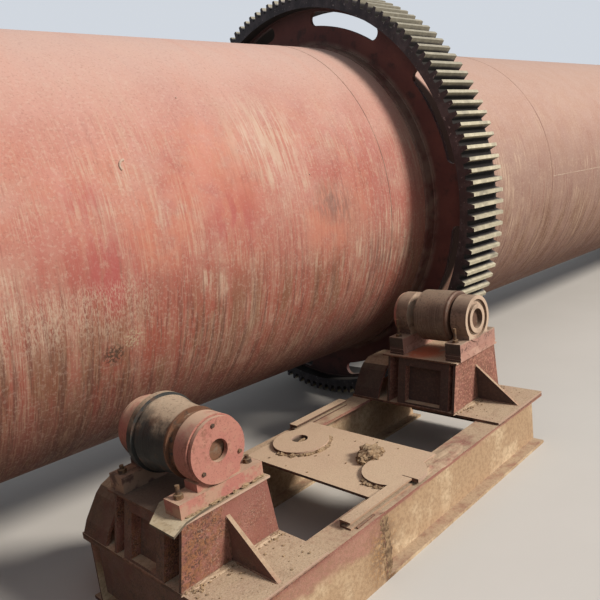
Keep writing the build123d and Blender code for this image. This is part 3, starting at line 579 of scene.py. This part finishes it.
def make_plate_dust(name, front, inner_front):
    # dusty plate: the front faces are painted light as a highlight, and the parts behind the front edge
    # take the second colour
    f = Finish(name, (0.085, 0.048, 0.034), 90.0, 0.002)
    t = f.tree
    f.over(1.0, (0.2, 0.095, 0.06), f.blotch(20.0, 0.4, 0.66))
    front_mask = f.back(-0.5, -0.9)
    f.over(0.85, front, front_mask)
    f.over(0.9, inner_front, front_mask, rise(t, from_front_edge(f), 0.045, 0.06))
    up = f.up(0.3, 0.8)
    f.over(1.0, dust_colour, up)
    f.over(0.7, (0.44, 0.29, 0.208), up, f.blotch(4.0, 0.4, 0.66))
    f.over(0.45, (0.35, 0.232, 0.15), up, f.blotch(22.0, 0.5, 0.66))
    f.over(0.5, (0.58, 0.45, 0.32), up, f.blotch(120.0, 0.5, 0.6))
    f.over(0.45, (0.17, 0.108, 0.068), up, f.blotch(160.0, 0.54, 0.62))
    # pale sand on the middle plates, painted shade in the hole of a disc, an orange rust patch that is
    # also a painted pool of sunlight, and a painted shadow on the left top plate
    middle = both(t, from_left_end(f, 0.6, 0.8), from_left_end(f, 1.5, 1.35))
    on_plates = rise(t, f.z, plate_z - 0.003, plate_z - 0.001)
    f.over(0.55, (0.64, 0.48, 0.33), up, middle, on_plates)
    f.over(0.92, (0.04, 0.026, 0.018), f.spot(station_point(1.0565, 0.7195, plate_z - 0.004), 0.046, 0.85))
    warm = f.spot(station_point(1.85, 0.5, right_top_z), 0.17, 0.3)
    f.over(0.9, (0.6, 0.15, 0.065), up, warm, f.blotch(14.0, 0.34, 0.5))
    f.over(0.8, (0.085, 0.058, 0.047), up, f.spot(station_point(0.1, 0.46, left_top_z), 0.3, 0.5))
    return f.close(0.92)


def make_bearing_paint():
    f = Finish("bearing_paint", (0.41, 0.155, 0.125), 80.0, 0.001)
    f.over(1.0, (0.445, 0.195, 0.148), f.blotch(7.0, 0.36, 0.64))
    f.over(0.45, (0.48, 0.25, 0.18), f.blotch(24.0, 0.5, 0.66))
    f.over(0.6, (0.19, 0.08, 0.048), f.blotch(12.0, 0.5, 0.62), f.blotch(80.0, 0.48, 0.58))
    f.over(0.35, (0.13, 0.06, 0.042), f.blotch(140.0, 0.56, 0.63))
    f.over(1.0, (0.54, 0.39, 0.275), f.dusty(0.9, 14.0))
    # painted shade on the faces that look left
    f.over(0.15, (0.12, 0.045, 0.045), f.right(-0.3, -0.8))
    # painted shade on the far block of the left bearing, which the drum shades
    f.over(0.85, (0.06, 0.044, 0.036), f.spot(station_point(0.1, 0.635, 0.54), 0.17, 0.6))
    foot = rise(f.tree, f.z, left_axis_z - 0.105, left_axis_z - 0.118)
    f.over(0.65, (0.43, 0.29, 0.2), foot, f.blotch(18.0, 0.42, 0.56))
    return f.close(0.78)


def make_rusty_bearing():
    f = Finish("bare_bearing_rust", (0.19, 0.125, 0.092), 70.0, 0.0012, metallic=0.1)
    front = f.back(-0.3, -0.8)
    foot = rise(f.tree, f.z, right_axis_z - 0.088, right_axis_z - 0.104)
    above_foot = rise(f.tree, f.z, right_axis_z - 0.104, right_axis_z - 0.088)
    f.over(1.0, (0.3, 0.205, 0.15), f.rain(30.0, 4.0, 0.4, 0.62))
    f.over(0.9, (0.44, 0.235, 0.185), foot, front)
    f.over(0.65, (0.075, 0.042, 0.03), f.blotch(16.0, 0.42, 0.6), f.blotch(90.0, 0.46, 0.56))
    f.over(0.9, (0.6, 0.45, 0.335), above_foot, front, f.blotch(9.0, 0.26, 0.5))
    f.over(1.0, (0.46, 0.345, 0.25), f.dusty(0.75, 12.0))
    # painted shade on the faces that look left, nearly black at the foot
    f.over(0.18, (0.05, 0.036, 0.03), f.right(-0.2, -0.8))
    f.over(0.8, (0.03, 0.022, 0.02), foot, f.right(-0.4, -0.9))
    return f.close(0.78)


frame_paint = make_frame_paint()
plate_dust = make_plate_dust("dusty_plate", (0.5, 0.35, 0.265), (0.5, 0.35, 0.265))
# on the bars the second colour is painted shade in the recess behind the front edge
bar_rust = make_plate_dust("dusty_bar", (0.42, 0.27, 0.18), (0.085, 0.042, 0.028))
bearing_paint = make_bearing_paint()
bare_bearing = make_rusty_bearing()

# %% [markdown]
# The packs under the right bearings were painted over with their block, so they are pink in front; their
# left ends are painted near black as shade. The skewed plate under the left bearing is a scrap with a
# cream coat.

# %% Shim pack and scrap plate finishes
def make_pack_paint():
    f = Finish("pack_paint", (0.42, 0.22, 0.17), 100.0, 0.0018)
    f.over(1.0, (0.51, 0.31, 0.24), f.blotch(9.0, 0.38, 0.62))
    f.over(0.6, (0.13, 0.062, 0.042), f.blotch(20.0, 0.44, 0.6), f.blotch(110.0, 0.46, 0.56))
    f.over(1.0, dust_colour, f.dusty(0.7, 14.0))
    # painted shade: the ends that look left are near black
    f.over(0.85, (0.024, 0.018, 0.017), f.right(-0.2, -0.8))
    return f.close(0.85)


def make_cream_plate():
    f = Finish("cream_scrap_plate", (0.5, 0.43, 0.3), 90.0, 0.0014)
    f.over(1.0, (0.42, 0.34, 0.215), f.blotch(12.0, 0.38, 0.64))
    f.over(0.5, (0.23, 0.165, 0.1), f.blotch(60.0, 0.52, 0.64))
    f.over(0.9, (0.08, 0.06, 0.042), f.up(0.6, 0.2))
    return f.close(0.85)


pack_paint = make_pack_paint()
cream_plate = make_cream_plate()

# %% [markdown]
# The rollers are dark steel. What shows when they stand still is dust on the upper side, and brown rust
# on the collar next to the near bearing. The dust is part of the roller's own coat, so it turns with
# it. Distances are taken along each roller's own axis, which is the depth direction of the station.

# %% Roller steel
def make_roller_steel(name, tread, worn, dusty_tone, dusty_share, dusty_from, rust, rust_end):
    f = Finish(name, tread, 60.0, 0.001, metallic=0.2)
    t = f.tree
    from_front = from_front_edge(f)
    inputs = {"W": calc(t, "MULTIPLY", from_front, 75.0), "Detail": 3.0}
    bands = put(t, "ShaderNodeTexNoise", inputs, noise_dimensions="1D").outputs["Fac"]
    f.over(0.8, worn, rise(t, bands, 0.46, 0.66))
    f.over(0.35, worn, f.blotch(10.0, 0.48, 0.66))
    f.over(0.35, rust, f.blotch(14.0, 0.5, 0.66))
    lying = calc(t, "ADD", f.facing_z, rise(t, f.blotch(9.0, 0.3, 0.7), 0.0, 1.0, -0.16, 0.16))
    f.over(dusty_share, dusty_tone, rise(t, lying, dusty_from, 0.92))
    f.over(0.9, (0.23, 0.178, 0.13), rise(t, from_front, 0.3, 0.29))
    f.over(0.9, rust, rise(t, from_front, rust_end + 0.012, rust_end), f.blotch(30.0, 0.28, 0.5))
    f.over(0.4, (0.04, 0.028, 0.022), f.blotch(110.0, 0.54, 0.64))
    return f.close(rise(t, f.blotch(9.0, 0.4, 0.6), 0.0, 1.0, 0.52, 0.72))


left_roller_steel = make_roller_steel(
    "left_roller_steel", (0.024, 0.026, 0.025), (0.056, 0.058, 0.052),
    (0.5, 0.395, 0.28), 0.9, 0.46, (0.185, 0.085, 0.045), 0.374,
)
right_roller_steel = make_roller_steel(
    "right_roller_steel", (0.098, 0.072, 0.058), (0.32, 0.24, 0.18),
    (0.4, 0.3, 0.215), 0.7, 0.2, (0.14, 0.07, 0.045), 0.332,
)

# %% [markdown]
# Small things have finishes of their own: dark rusty bolts, weld beads, dry soil, and the brown iron of
# the lifting flights inside the drum.

# %% Bolts, welds, soil and inner steel
def make_plain_rust(name, dark, light, dusty_tone, scale, roughness, metallic=0.1):
    f = Finish(name, dark, 120.0, 0.0012, metallic)
    f.over(1.0, light, f.blotch(scale, 0.38, 0.62))
    f.over(0.5, dark, f.blotch(scale * 4.0, 0.48, 0.62))
    f.over(1.0, dusty_tone, f.dusty(0.5, 25.0))
    return f.close(roughness)


bolt_rust, weld_rust, seam_rust, pale_seam, flight_rust, dark_soil = (
    make_plain_rust(*recipe)
    for recipe in (
        ("bolt_rust", (0.055, 0.034, 0.024), (0.19, 0.105, 0.05), (0.36, 0.26, 0.16), 45.0, 0.7),
        ("weld_rust", (0.12, 0.055, 0.038), (0.27, 0.13, 0.085), (0.42, 0.3, 0.2), 60.0, 0.75),
        ("seam_rust", (0.21, 0.11, 0.082), (0.42, 0.25, 0.185), (0.4, 0.27, 0.21), 9.0, 0.8),
        ("pale_seam", (0.42, 0.29, 0.22), (0.55, 0.42, 0.33), (0.6, 0.47, 0.37), 20.0, 0.8),
        ("flight_rust", (0.11, 0.055, 0.034), (0.21, 0.115, 0.066), (0.3, 0.2, 0.13), 5.0, 0.85),
        ("dark_soil", (0.12, 0.072, 0.04), (0.36, 0.24, 0.135), (0.5, 0.37, 0.23), 40.0, 0.95, 0.0),
    )
)


def make_floor_finish():
    # pale to the camera, while the light that it throws back at the dryer is that of dry ground
    f = Finish("pale_floor_finish", (0.6, 0.585, 0.55), 3.0, 0.0004)
    f.over(1.0, (0.63, 0.615, 0.58), f.blotch(0.6, 0.3, 0.7))
    f.over(1.0, (0.235, 0.185, 0.125), put(f.tree, "ShaderNodeLightPath").outputs["Is Diffuse Ray"])
    return f.close(0.9)


pale_floor.data.materials.append(make_floor_finish())

# %% [markdown]
# The start of a piece's name tells what it is, so a short table gives every CAD piece its finish.
# Where more than one start fits a name, the longest counts.

# %% Give each CAD piece its finish
finish_of = {
    start: finish
    for finish, starts in (
        (drum_paint, "shell_ end_ring ring_seat"),
        (web_paint, "gear_collar gear_web"),
        (gear_steel, "gear_ring"),
        (ring_steel, "riding_ring"),
        (flight_rust, "lifting_flight"),
        (frame_paint, "frame_beam end_channel web_box pedestal_ arch_plate gusset"),
        (plate_dust, "foot_plate cross_plate thrust_disc top_plate"),
        (bar_rust, "loose_bar"),
        (cream_plate, "skewed_plate"),
        (pack_paint, "shim_pack"),
        (bearing_paint, "housing_left bearing_cover"),
        (bare_bearing, "housing_right"),
        (left_roller_steel, "roller_left"),
        (right_roller_steel, "roller_right"),
    )
    for start in starts.split()
}
for name, node in nodes.items():
    start = max((s for s in finish_of if name.startswith(s)), key=len)
    node.data.materials.clear()
    node.data.materials.append(finish_of[start])
print("finishes on CAD pieces:", len(set(m.name for m in finish_of.values())))

# %% [markdown]
# New pieces are bmesh shapes. One helper turns a bmesh into an object that rides on its body. Station
# pieces are drawn in station distances and moved into place by the station's matrix at the end.

# %% Helpers for new pieces
chance = random.Random(17)


def keep_piece(name, mesh, finish, place=None, smooth=False, body="plant"):
    if place is not None:
        bmesh.ops.transform(mesh, matrix=place, verts=mesh.verts)
    bmesh.ops.recalc_face_normals(mesh, faces=mesh.faces)
    data = bpy.data.meshes.new(name)
    mesh.to_mesh(data)
    mesh.free()
    for face in data.polygons:
        face.use_smooth = smooth
    data.materials.append(finish)
    piece = add_object(name, data)
    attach(piece, body)
    print(name, len(data.polygons), "faces")
    return piece


def along(direction):
    # a turn that takes +Z to this direction
    return Vector(direction).normalized().to_track_quat("Z", "Y").to_matrix().to_4x4()


def add_rod(mesh, foot, direction, radius, length, sides=16, tip_radius=None):
    # a rod that starts at foot and runs along direction
    place = Matrix.Translation(foot) @ along(direction) @ Matrix.Translation((0.0, 0.0, length / 2))
    bmesh.ops.create_cone(
        mesh, cap_ends=True, segments=sides, radius1=radius,
        radius2=radius if tip_radius is None else tip_radius, depth=length, matrix=place,
    )


def add_bolt(mesh, foot, direction, width, washer=True, stud=0.0):
    # a washer, a hexagon with chamfered corners, and the end of a stud
    foot = Vector(foot)
    way = Vector(direction).normalized()
    if washer:
        add_rod(mesh, foot, way, width * 1.05, width * 0.16, 18)
        foot = foot + way * width * 0.16
    add_rod(mesh, foot, way, width, width * 0.72, 6)
    add_rod(mesh, foot + way * width * 0.72, way, width * 0.98, width * 0.1, 12, width * 0.8)
    if stud > 0.0:
        add_rod(mesh, foot + way * width * 0.8, way, width * 0.5, stud, 12)


def edges_within(mesh, verts):
    return [e for e in mesh.edges if e.verts[0] in verts and e.verts[1] in verts]


def add_bead(mesh, start, end, radius, step=0.009):
    # a weld bead: a ring of six points drawn along the joint, swelling and thinning as it goes
    start = Vector(start)
    end = Vector(end)
    way = (end - start).normalized()
    steps = max(3, round((end - start).length / step))
    place = Matrix.Translation(start) @ along(way)
    ring = bmesh.ops.create_circle(
        mesh, cap_ends=True, segments=6, radius=radius * 0.7, matrix=place
    )["verts"]
    centre = start.copy()
    edges = edges_within(mesh, ring)
    for count in range(steps):
        grown = bmesh.ops.extrude_edge_only(mesh, edges=edges)["geom"]
        ring = [v for v in grown if isinstance(v, bmesh.types.BMVert)]
        edges = [e for e in grown if isinstance(e, bmesh.types.BMEdge)]
        new_centre = start + (end - start) * ((count + 1) / steps)
        swell = radius * (0.78 + 0.3 * (count % 2) + chance.uniform(-0.1, 0.1))
        for vertex in ring:
            out = (vertex.co - centre).normalized()
            vertex.co = new_centre + out * swell
        centre = new_centre
    bmesh.ops.holes_fill(mesh, edges=edges, sides=6)


def noise_shift():
    # every lump reads the noise at another place, so that no two are alike
    return Vector((chance.uniform(0, 50), chance.uniform(0, 50), chance.uniform(0, 50)))


def press(mesh, verts, centre, size):
    shape = Matrix.Translation(centre) @ Matrix.Diagonal(Vector(size)).to_4x4()
    bmesh.ops.transform(mesh, matrix=shape, verts=verts)


def add_lump(mesh, centre, size, rough, detail=3, grain=3.0):
    # a ball roughened by noise and pressed to this size, for stones, crumbs and flakes
    ball = bmesh.ops.create_icosphere(mesh, subdivisions=detail, radius=0.5)["verts"]
    shift = noise_shift()
    for vertex in ball:
        vertex.co = vertex.co * (1.0 + rough * noise.fractal(vertex.co * grain + shift, 0.9, 2.0, 4))
    press(mesh, ball, centre, size)


def add_drift(mesh, centre, size, rough):
    # a low mound of this size whose thin edge dips under the plate that carries it
    mound = bmesh.ops.create_icosphere(mesh, subdivisions=5, radius=0.5)["verts"]
    shift = noise_shift()
    for vertex in mound:
        flat = Vector((vertex.co.x, vertex.co.y, 0.0))
        level = max(vertex.co.z, 0.0) * (1.0 + rough * noise.fractal(flat * 5.0 + shift, 1.0, 2.0, 3))
        spread = 1.0 + rough * noise.noise(flat.normalized() * 1.7 + shift)
        vertex.co = flat * spread + Vector((0.0, 0.0, 2.6 * level - 0.3))
    press(mesh, mound, centre, size)


# %% [markdown]
# The drum is rolled from plate in courses, joined by round welds. The welds are low beads, found by
# spinning a small arch round the axis. Each course also has one lengthwise seam, a quarter turn on from
# its neighbour's, as plate shops do. The seam to the right of the gear is dusty and pale.

# %% Drum seams
def spin_round_drum(mesh, profile, x, steps):
    bmesh.ops.spin(
        mesh, geom=profile, cent=(x, drum_y, drum_z), axis=(1.0, 0.0, 0.0),
        angle=2 * math.pi, steps=steps, use_merge=True,
    )


seam_width = 0.008
seam_height = 0.0016
# an arch of five points across the seam
seam_arch = [(-0.5, -0.4), (-0.3, 0.75), (0.0, 1.0), (0.3, 0.75), (0.5, -0.4)]
wide_course = 1.5 * course_length
seam_places = [-course_length - wide_course, -course_length, 0.0, wide_course, 2 * wide_course]
seam_mesh = bmesh.new()
for x in seam_places:
    points = [
        seam_mesh.verts.new((x + a * seam_width, drum_y, drum_z + shell_r + b * seam_height))
        for a, b in seam_arch
    ]
    arch_edges = [seam_mesh.edges.new(pair) for pair in zip(points, points[1:])]
    spin_round_drum(seam_mesh, points + arch_edges, x, 180)
keep_piece("drum_round_seams", seam_mesh, seam_rust, smooth=True)


def add_long_seam(mesh, start_x, end_x, turn):
    # a bead sunk a little in the shell, that stops short of the round welds
    gap = 0.006
    sink = 0.003 / shell_r
    start = drum_point(start_x + gap, turn)
    axis_point = Vector((0.0, drum_y, drum_z))
    foot = start - (start - axis_point - Vector((start.x, 0.0, 0.0))) * sink
    add_bead(mesh, foot, foot + Vector((end_x - start_x - 2 * gap, 0.0, 0.0)), 0.0048, 0.016)


seam_ends = [drum_left] + seam_places + [drum_right]
first_turn = 180.9
long_mesh = bmesh.new()
for course, start_x in enumerate(seam_ends[:-1]):
    if abs(start_x) > 0.001:
        add_long_seam(long_mesh, start_x, seam_ends[course + 1], first_turn + 90.0 * (3 - course))
keep_piece("drum_long_seams", long_mesh, seam_rust, smooth=True)
pale_mesh = bmesh.new()
add_long_seam(pale_mesh, 0.0, wide_course, first_turn)
keep_piece("drum_pale_seam", pale_mesh, pale_seam, smooth=True)

# %% [markdown]
# Two small scars break the plate on the side of the station: a crescent where a lug was cut off, and
# a few weld spatters. They are low, so bent rings and flat drops are enough.

# %% Scars on the drum
scar_mesh = bmesh.new()
scar_centre = drum_point(-3.39, 161.3)
scar_out = (scar_centre - Vector((scar_centre.x, drum_y, drum_z))).normalized()
scar_place = Matrix.Translation(scar_centre) @ along(scar_out)
scar_place = scar_place @ Matrix.Rotation(1.66, 4, "Z")
scar_dot = bmesh.ops.create_circle(
    scar_mesh, cap_ends=False, segments=6, radius=0.0055,
    matrix=scar_place @ Matrix.Translation((0.026, 0.0, 0.0)) @ Matrix.Rotation(math.pi / 2, 4, "X"),
)["verts"]
bmesh.ops.contextual_create(scar_mesh, geom=edges_within(scar_mesh, scar_dot))
bmesh.ops.spin(
    scar_mesh, geom=scar_mesh.faces[:] + scar_mesh.edges[:] + scar_mesh.verts[:],
    cent=scar_centre, axis=scar_out, angle=math.radians(120.0), steps=16,
)
for x, turn in ((-1.774, 191.1), (-3.027, 143.9), (-2.45, 168.0)):
    add_lump(scar_mesh, drum_point(x, turn), (0.009, 0.009, 0.007), 0.3, 2)
keep_piece("drum_scars", scar_mesh, pale_seam, smooth=True)

# %% [markdown]
# Fillet welds hold the collar to the shell and the web to the collar and rim. They are rings with
# a round section, half sunk in the corner that they fill.

# %% Welds round the gear
def add_ring_bead(mesh, x, radius, size):
    # a small hexagon spun round the drum's axis
    place = Matrix.Translation((x, drum_y, drum_z + radius)) @ Matrix.Rotation(math.pi / 2, 4, "X")
    ring = bmesh.ops.create_circle(mesh, cap_ends=False, segments=6, radius=size, matrix=place)["verts"]
    spin_round_drum(mesh, ring + edges_within(mesh, ring), x, 200)


collar_low, collar_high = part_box("gear_collar")
collar_r = collar_high.z - drum_z
rim_r = web_high.z - drum_z
gear_weld = bmesh.new()
for left_x, right_x, weld_r, weld_size in (
    (collar_low.x, collar_high.x, shell_r + 0.002, 0.007),
    (web_low.x, web_high.x, collar_r + 0.001, 0.008),
    (web_low.x, web_high.x, rim_r - 0.001, 0.008),
):
    add_ring_bead(gear_weld, left_x, weld_r, weld_size)
    add_ring_bead(gear_weld, right_x, weld_r, weld_size)
keep_piece("gear_welds", gear_weld, web_paint, smooth=True)

# %% [markdown]
# Bearings: each cover is held by three bolts near its rim, and each housing foot by two long studs with
# nuts, one at either end of its block. The studs stand out by different lengths.

# %% Bearing bolts and studs
bolt_circle_r = 0.092
bolt_width = 0.0075
stud_width = 0.016
stud_reach = 0.15
left_block_z = 0.582
right_block_z = 0.638

bolt_mesh = bmesh.new()
for axis_u, axis_z, cover_w, outward in (
    (left_axis_u, left_axis_z, 0.239, -1.0),
    (left_axis_u, left_axis_z, 0.683, 1.0),
    (right_axis_u, right_axis_z, 0.66, 1.0),
):
    for turn in (97.0, 217.0, 337.0):
        bolt_u = axis_u + bolt_circle_r * math.cos(math.radians(turn))
        bolt_z = axis_z + bolt_circle_r * math.sin(math.radians(turn))
        add_bolt(bolt_mesh, (bolt_u, cover_w, bolt_z), (0.0, outward, 0.0), bolt_width, washer=False)
keep_piece("cover_bolts", bolt_mesh, bolt_rust, station)

stud_mesh = bmesh.new()
for axis_u, block_z, stud_w, left_length, right_length in (
    (left_axis_u, left_block_z, 0.287, 0.03, 0.012),
    (left_axis_u, left_block_z, 0.635, 0.014, 0.02),
    (right_axis_u, right_block_z, 0.265, 0.058, 0.02),
    (right_axis_u, right_block_z, 0.612, 0.078, 0.03),
):
    for stud_u, length in ((axis_u - stud_reach, left_length), (axis_u + stud_reach, right_length)):
        add_bolt(stud_mesh, (stud_u, stud_w, block_z), (0.0, 0.0, 1.0), stud_width, stud=length)
keep_piece("foot_studs", stud_mesh, bolt_rust, station)

# %% [markdown]
# Welds run along the feet of the pedestals, up the gussets and under the top plates. They are drawn by
# the bead helper from corner to corner.

# %% Pedestal welds
wall_w = 0.243
column_end_w = 0.59
far_wall_w = 0.657


def pedestal_welds(mesh, foot_left, foot_right, top_left, top_right, top_z, column_w, gusset_high, axis_u):
    def weld_on_plate(start, end, radius):
        add_bead(mesh, (*start, plate_z), (*end, plate_z), radius)

    weld_on_plate((foot_left, wall_w), (foot_right, wall_w), 0.006)
    weld_on_plate((foot_left, column_w), (foot_left, column_end_w), 0.005)
    weld_on_plate((foot_right, column_w), (foot_right, column_end_w), 0.005)
    weld_on_plate((foot_left, far_wall_w), (foot_right, far_wall_w), 0.006)
    for u in (axis_u - 0.008, axis_u + 0.008):
        # both sides of the gusset, along its foot and up the wall
        weld_on_plate((u, 0.022), (u, wall_w), 0.005)
        add_bead(mesh, (u, wall_w, plate_z), (u, wall_w, plate_z + gusset_high), 0.005)
    add_bead(mesh, (top_left, wall_w, top_z - 0.008), (top_right, wall_w, top_z - 0.008), 0.004)
    for w in (0.722, 0.891):
        weld_on_plate((foot_left, w), (foot_left + 0.014, w), 0.004)
        weld_on_plate((foot_right - 0.014, w), (foot_right, w), 0.004)


weld_mesh = bmesh.new()
pedestal_welds(weld_mesh, 0.002, 0.444, 0.044, 0.417, left_top_z, 0.34, 0.165, left_axis_u)
pedestal_welds(weld_mesh, 1.69, 2.168, 1.741, 2.144, right_top_z, 0.28, 0.182, right_axis_u)
keep_piece("pedestal_welds", weld_mesh, weld_rust, station, smooth=True)

plate_weld = bmesh.new()
for left, right in ((0.0, 0.446), (1.688, 2.17)):
    for w in (0.0, frame_width):
        add_bead(plate_weld, (left + 0.004, w, beam_z), (right - 0.004, w, beam_z), 0.004)
add_bead(plate_weld, (0.751, 0.004, 0.018), (0.751, 0.004, beam_z - 0.018), 0.006)
keep_piece("frame_welds", plate_weld, weld_rust, station, smooth=True)

# %% [markdown]
# Rain has washed sand against the walls and over the near flange. Each drift is a ball pressed flat,
# whose thin edge dips under the plate that carries it, so that no rim shows.

# %% Drifts of sand
flange_mesh = bmesh.new()
add_drift(flange_mesh, (1.2, 0.058, beam_z), (0.46, 0.11, 0.007), 0.5)
add_drift(flange_mesh, (1.14, 0.064, beam_z), (0.23, 0.1, 0.01), 0.5)
keep_piece("flange_drifts", flange_mesh, frame_paint, station, smooth=True)

sand_mesh = bmesh.new()
for drift_u, length in ((0.12, 0.26), (0.34, 0.22), (1.8, 0.24), (2.05, 0.22)):
    add_drift(sand_mesh, (drift_u, 0.236, plate_z), (length, 0.04, 0.005), 0.45)
keep_piece("wall_drifts", sand_mesh, plate_dust, station, smooth=True)

# %% [markdown]
# A clod lies on the cross plate, crusts cling to the rims of the discs, and crumbs lie at the feet of
# the walls. All are balls roughened by noise. The random draws start from a fixed seed, so every run
# puts them in the same places.

# %% Clod, crusts and crumbs
soil_mesh = bmesh.new()
clod_u = 1.085
clod_w = 0.312
add_lump(soil_mesh, (1.092, 0.318, 0.312), (0.125, 0.085, 0.066), 0.42, 4, 3.6)
for piece in range(16):
    # smaller pieces pressed against the clod
    turn = math.radians(chance.uniform(0.0, 360.0))
    size = chance.uniform(0.022, 0.048)
    place = (clod_u + 0.058 * math.cos(turn), clod_w + 0.038 * math.sin(turn), plate_z + size * 0.35)
    add_lump(soil_mesh, place, (size * 1.2, size, size * 0.9), 0.5, 3, 3.2)

disc_r = 0.137
crust_z = 0.293
bar_back_w = 0.084
for disc_u, disc_w, first, last, count in (
    (1.0265, 0.137, 150.0, 250.0, 52),
    (1.0455, 0.699, 170.0, 330.0, 64),
):
    for crust in range(count):
        turn = math.radians(chance.uniform(first, last))
        reach = disc_r + chance.uniform(-0.004, 0.008)
        size = chance.uniform(0.008, 0.026)
        place = (disc_u + reach * math.cos(turn), disc_w + reach * math.sin(turn), crust_z)
        if place[1] > bar_back_w:
            add_lump(soil_mesh, place, (size * 1.3, size, size * 0.8), 0.6, 2)

for flake in range(90):
    # flaking rust where the box plate ends
    size = chance.uniform(0.012, 0.036)
    place = (0.758 + chance.uniform(-0.016, 0.02), 0.002, chance.uniform(0.02, 0.262))
    add_lump(soil_mesh, place, (size, 0.006, size * 1.2), 0.7, 2)
for crumb in range(26):
    # crumbs along the front edge of the left top plate
    place = (chance.uniform(0.05, 0.41), 0.24, 0.53 + chance.uniform(-0.002, 0.004))
    add_lump(soil_mesh, place, (chance.uniform(0.01, 0.03), 0.01, 0.007), 0.6, 2)
add_lump(soil_mesh, (1.062, 0.712, plate_z), (0.046, 0.024, 0.018), 0.5, 3)
for grain in range(420):
    # grit gathered at the foot of both near walls
    size = chance.uniform(0.003, 0.009)
    grain_u = chance.choice((chance.uniform(0.01, 0.44), chance.uniform(1.7, 2.16)))
    grain_w = wall_w - abs(chance.gauss(0.0, 0.022))
    add_lump(soil_mesh, (grain_u, grain_w, plate_z + size * 0.2), (size * 1.4, size, size), 0.6, 1)
crumb_zones = ((0.03, 0.43, 0.03, 0.235), (1.7, 2.15, 0.03, 0.235), (0.83, 1.25, 0.1, 0.82))
for crumb in range(80):
    size = chance.uniform(0.003, 0.009)
    left, right, front, back = chance.choice(crumb_zones)
    place = (chance.uniform(left, right), chance.uniform(front, back), plate_z + size * 0.25)
    add_lump(soil_mesh, place, (size * 1.4, size, size * 0.8), 0.6, 1)
keep_piece("clod_and_crumbs", soil_mesh, dark_soil, station)

# %% [markdown]
# A thin strip of rusty scrap lies in front of the near bar, on the flange. It is a cube drawn out to
# a strip, with its edges bevelled.

# %% Scrap strip
strip_mesh = bmesh.new()
strip_place = Matrix.Translation((0.675, 0.018, 0.2835)) @ Matrix.Rotation(math.radians(2.0), 4, "Z")
strip_shape = strip_place @ Matrix.Diagonal((0.108, 0.009, 0.006, 1.0))
bmesh.ops.create_cube(strip_mesh, size=1.0, matrix=strip_shape)
bmesh.ops.bevel(
    strip_mesh, geom=strip_mesh.edges[:], offset=0.001, segments=2, profile=0.5,
    affect="EDGES", material=-1,
)
keep_piece("scrap_strip", strip_mesh, weld_rust, station)

# %% [markdown]
# Last, the box round everything is printed beside the box of the CAD pieces, to see what the new pieces
# add to it.

# %% Print the sizes
visual_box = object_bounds()
for label, box in (("CAD box", cad_box), ("visual box", visual_box)):
    print(label, [tuple(round(c, 3) for c in corner) for corner in box])
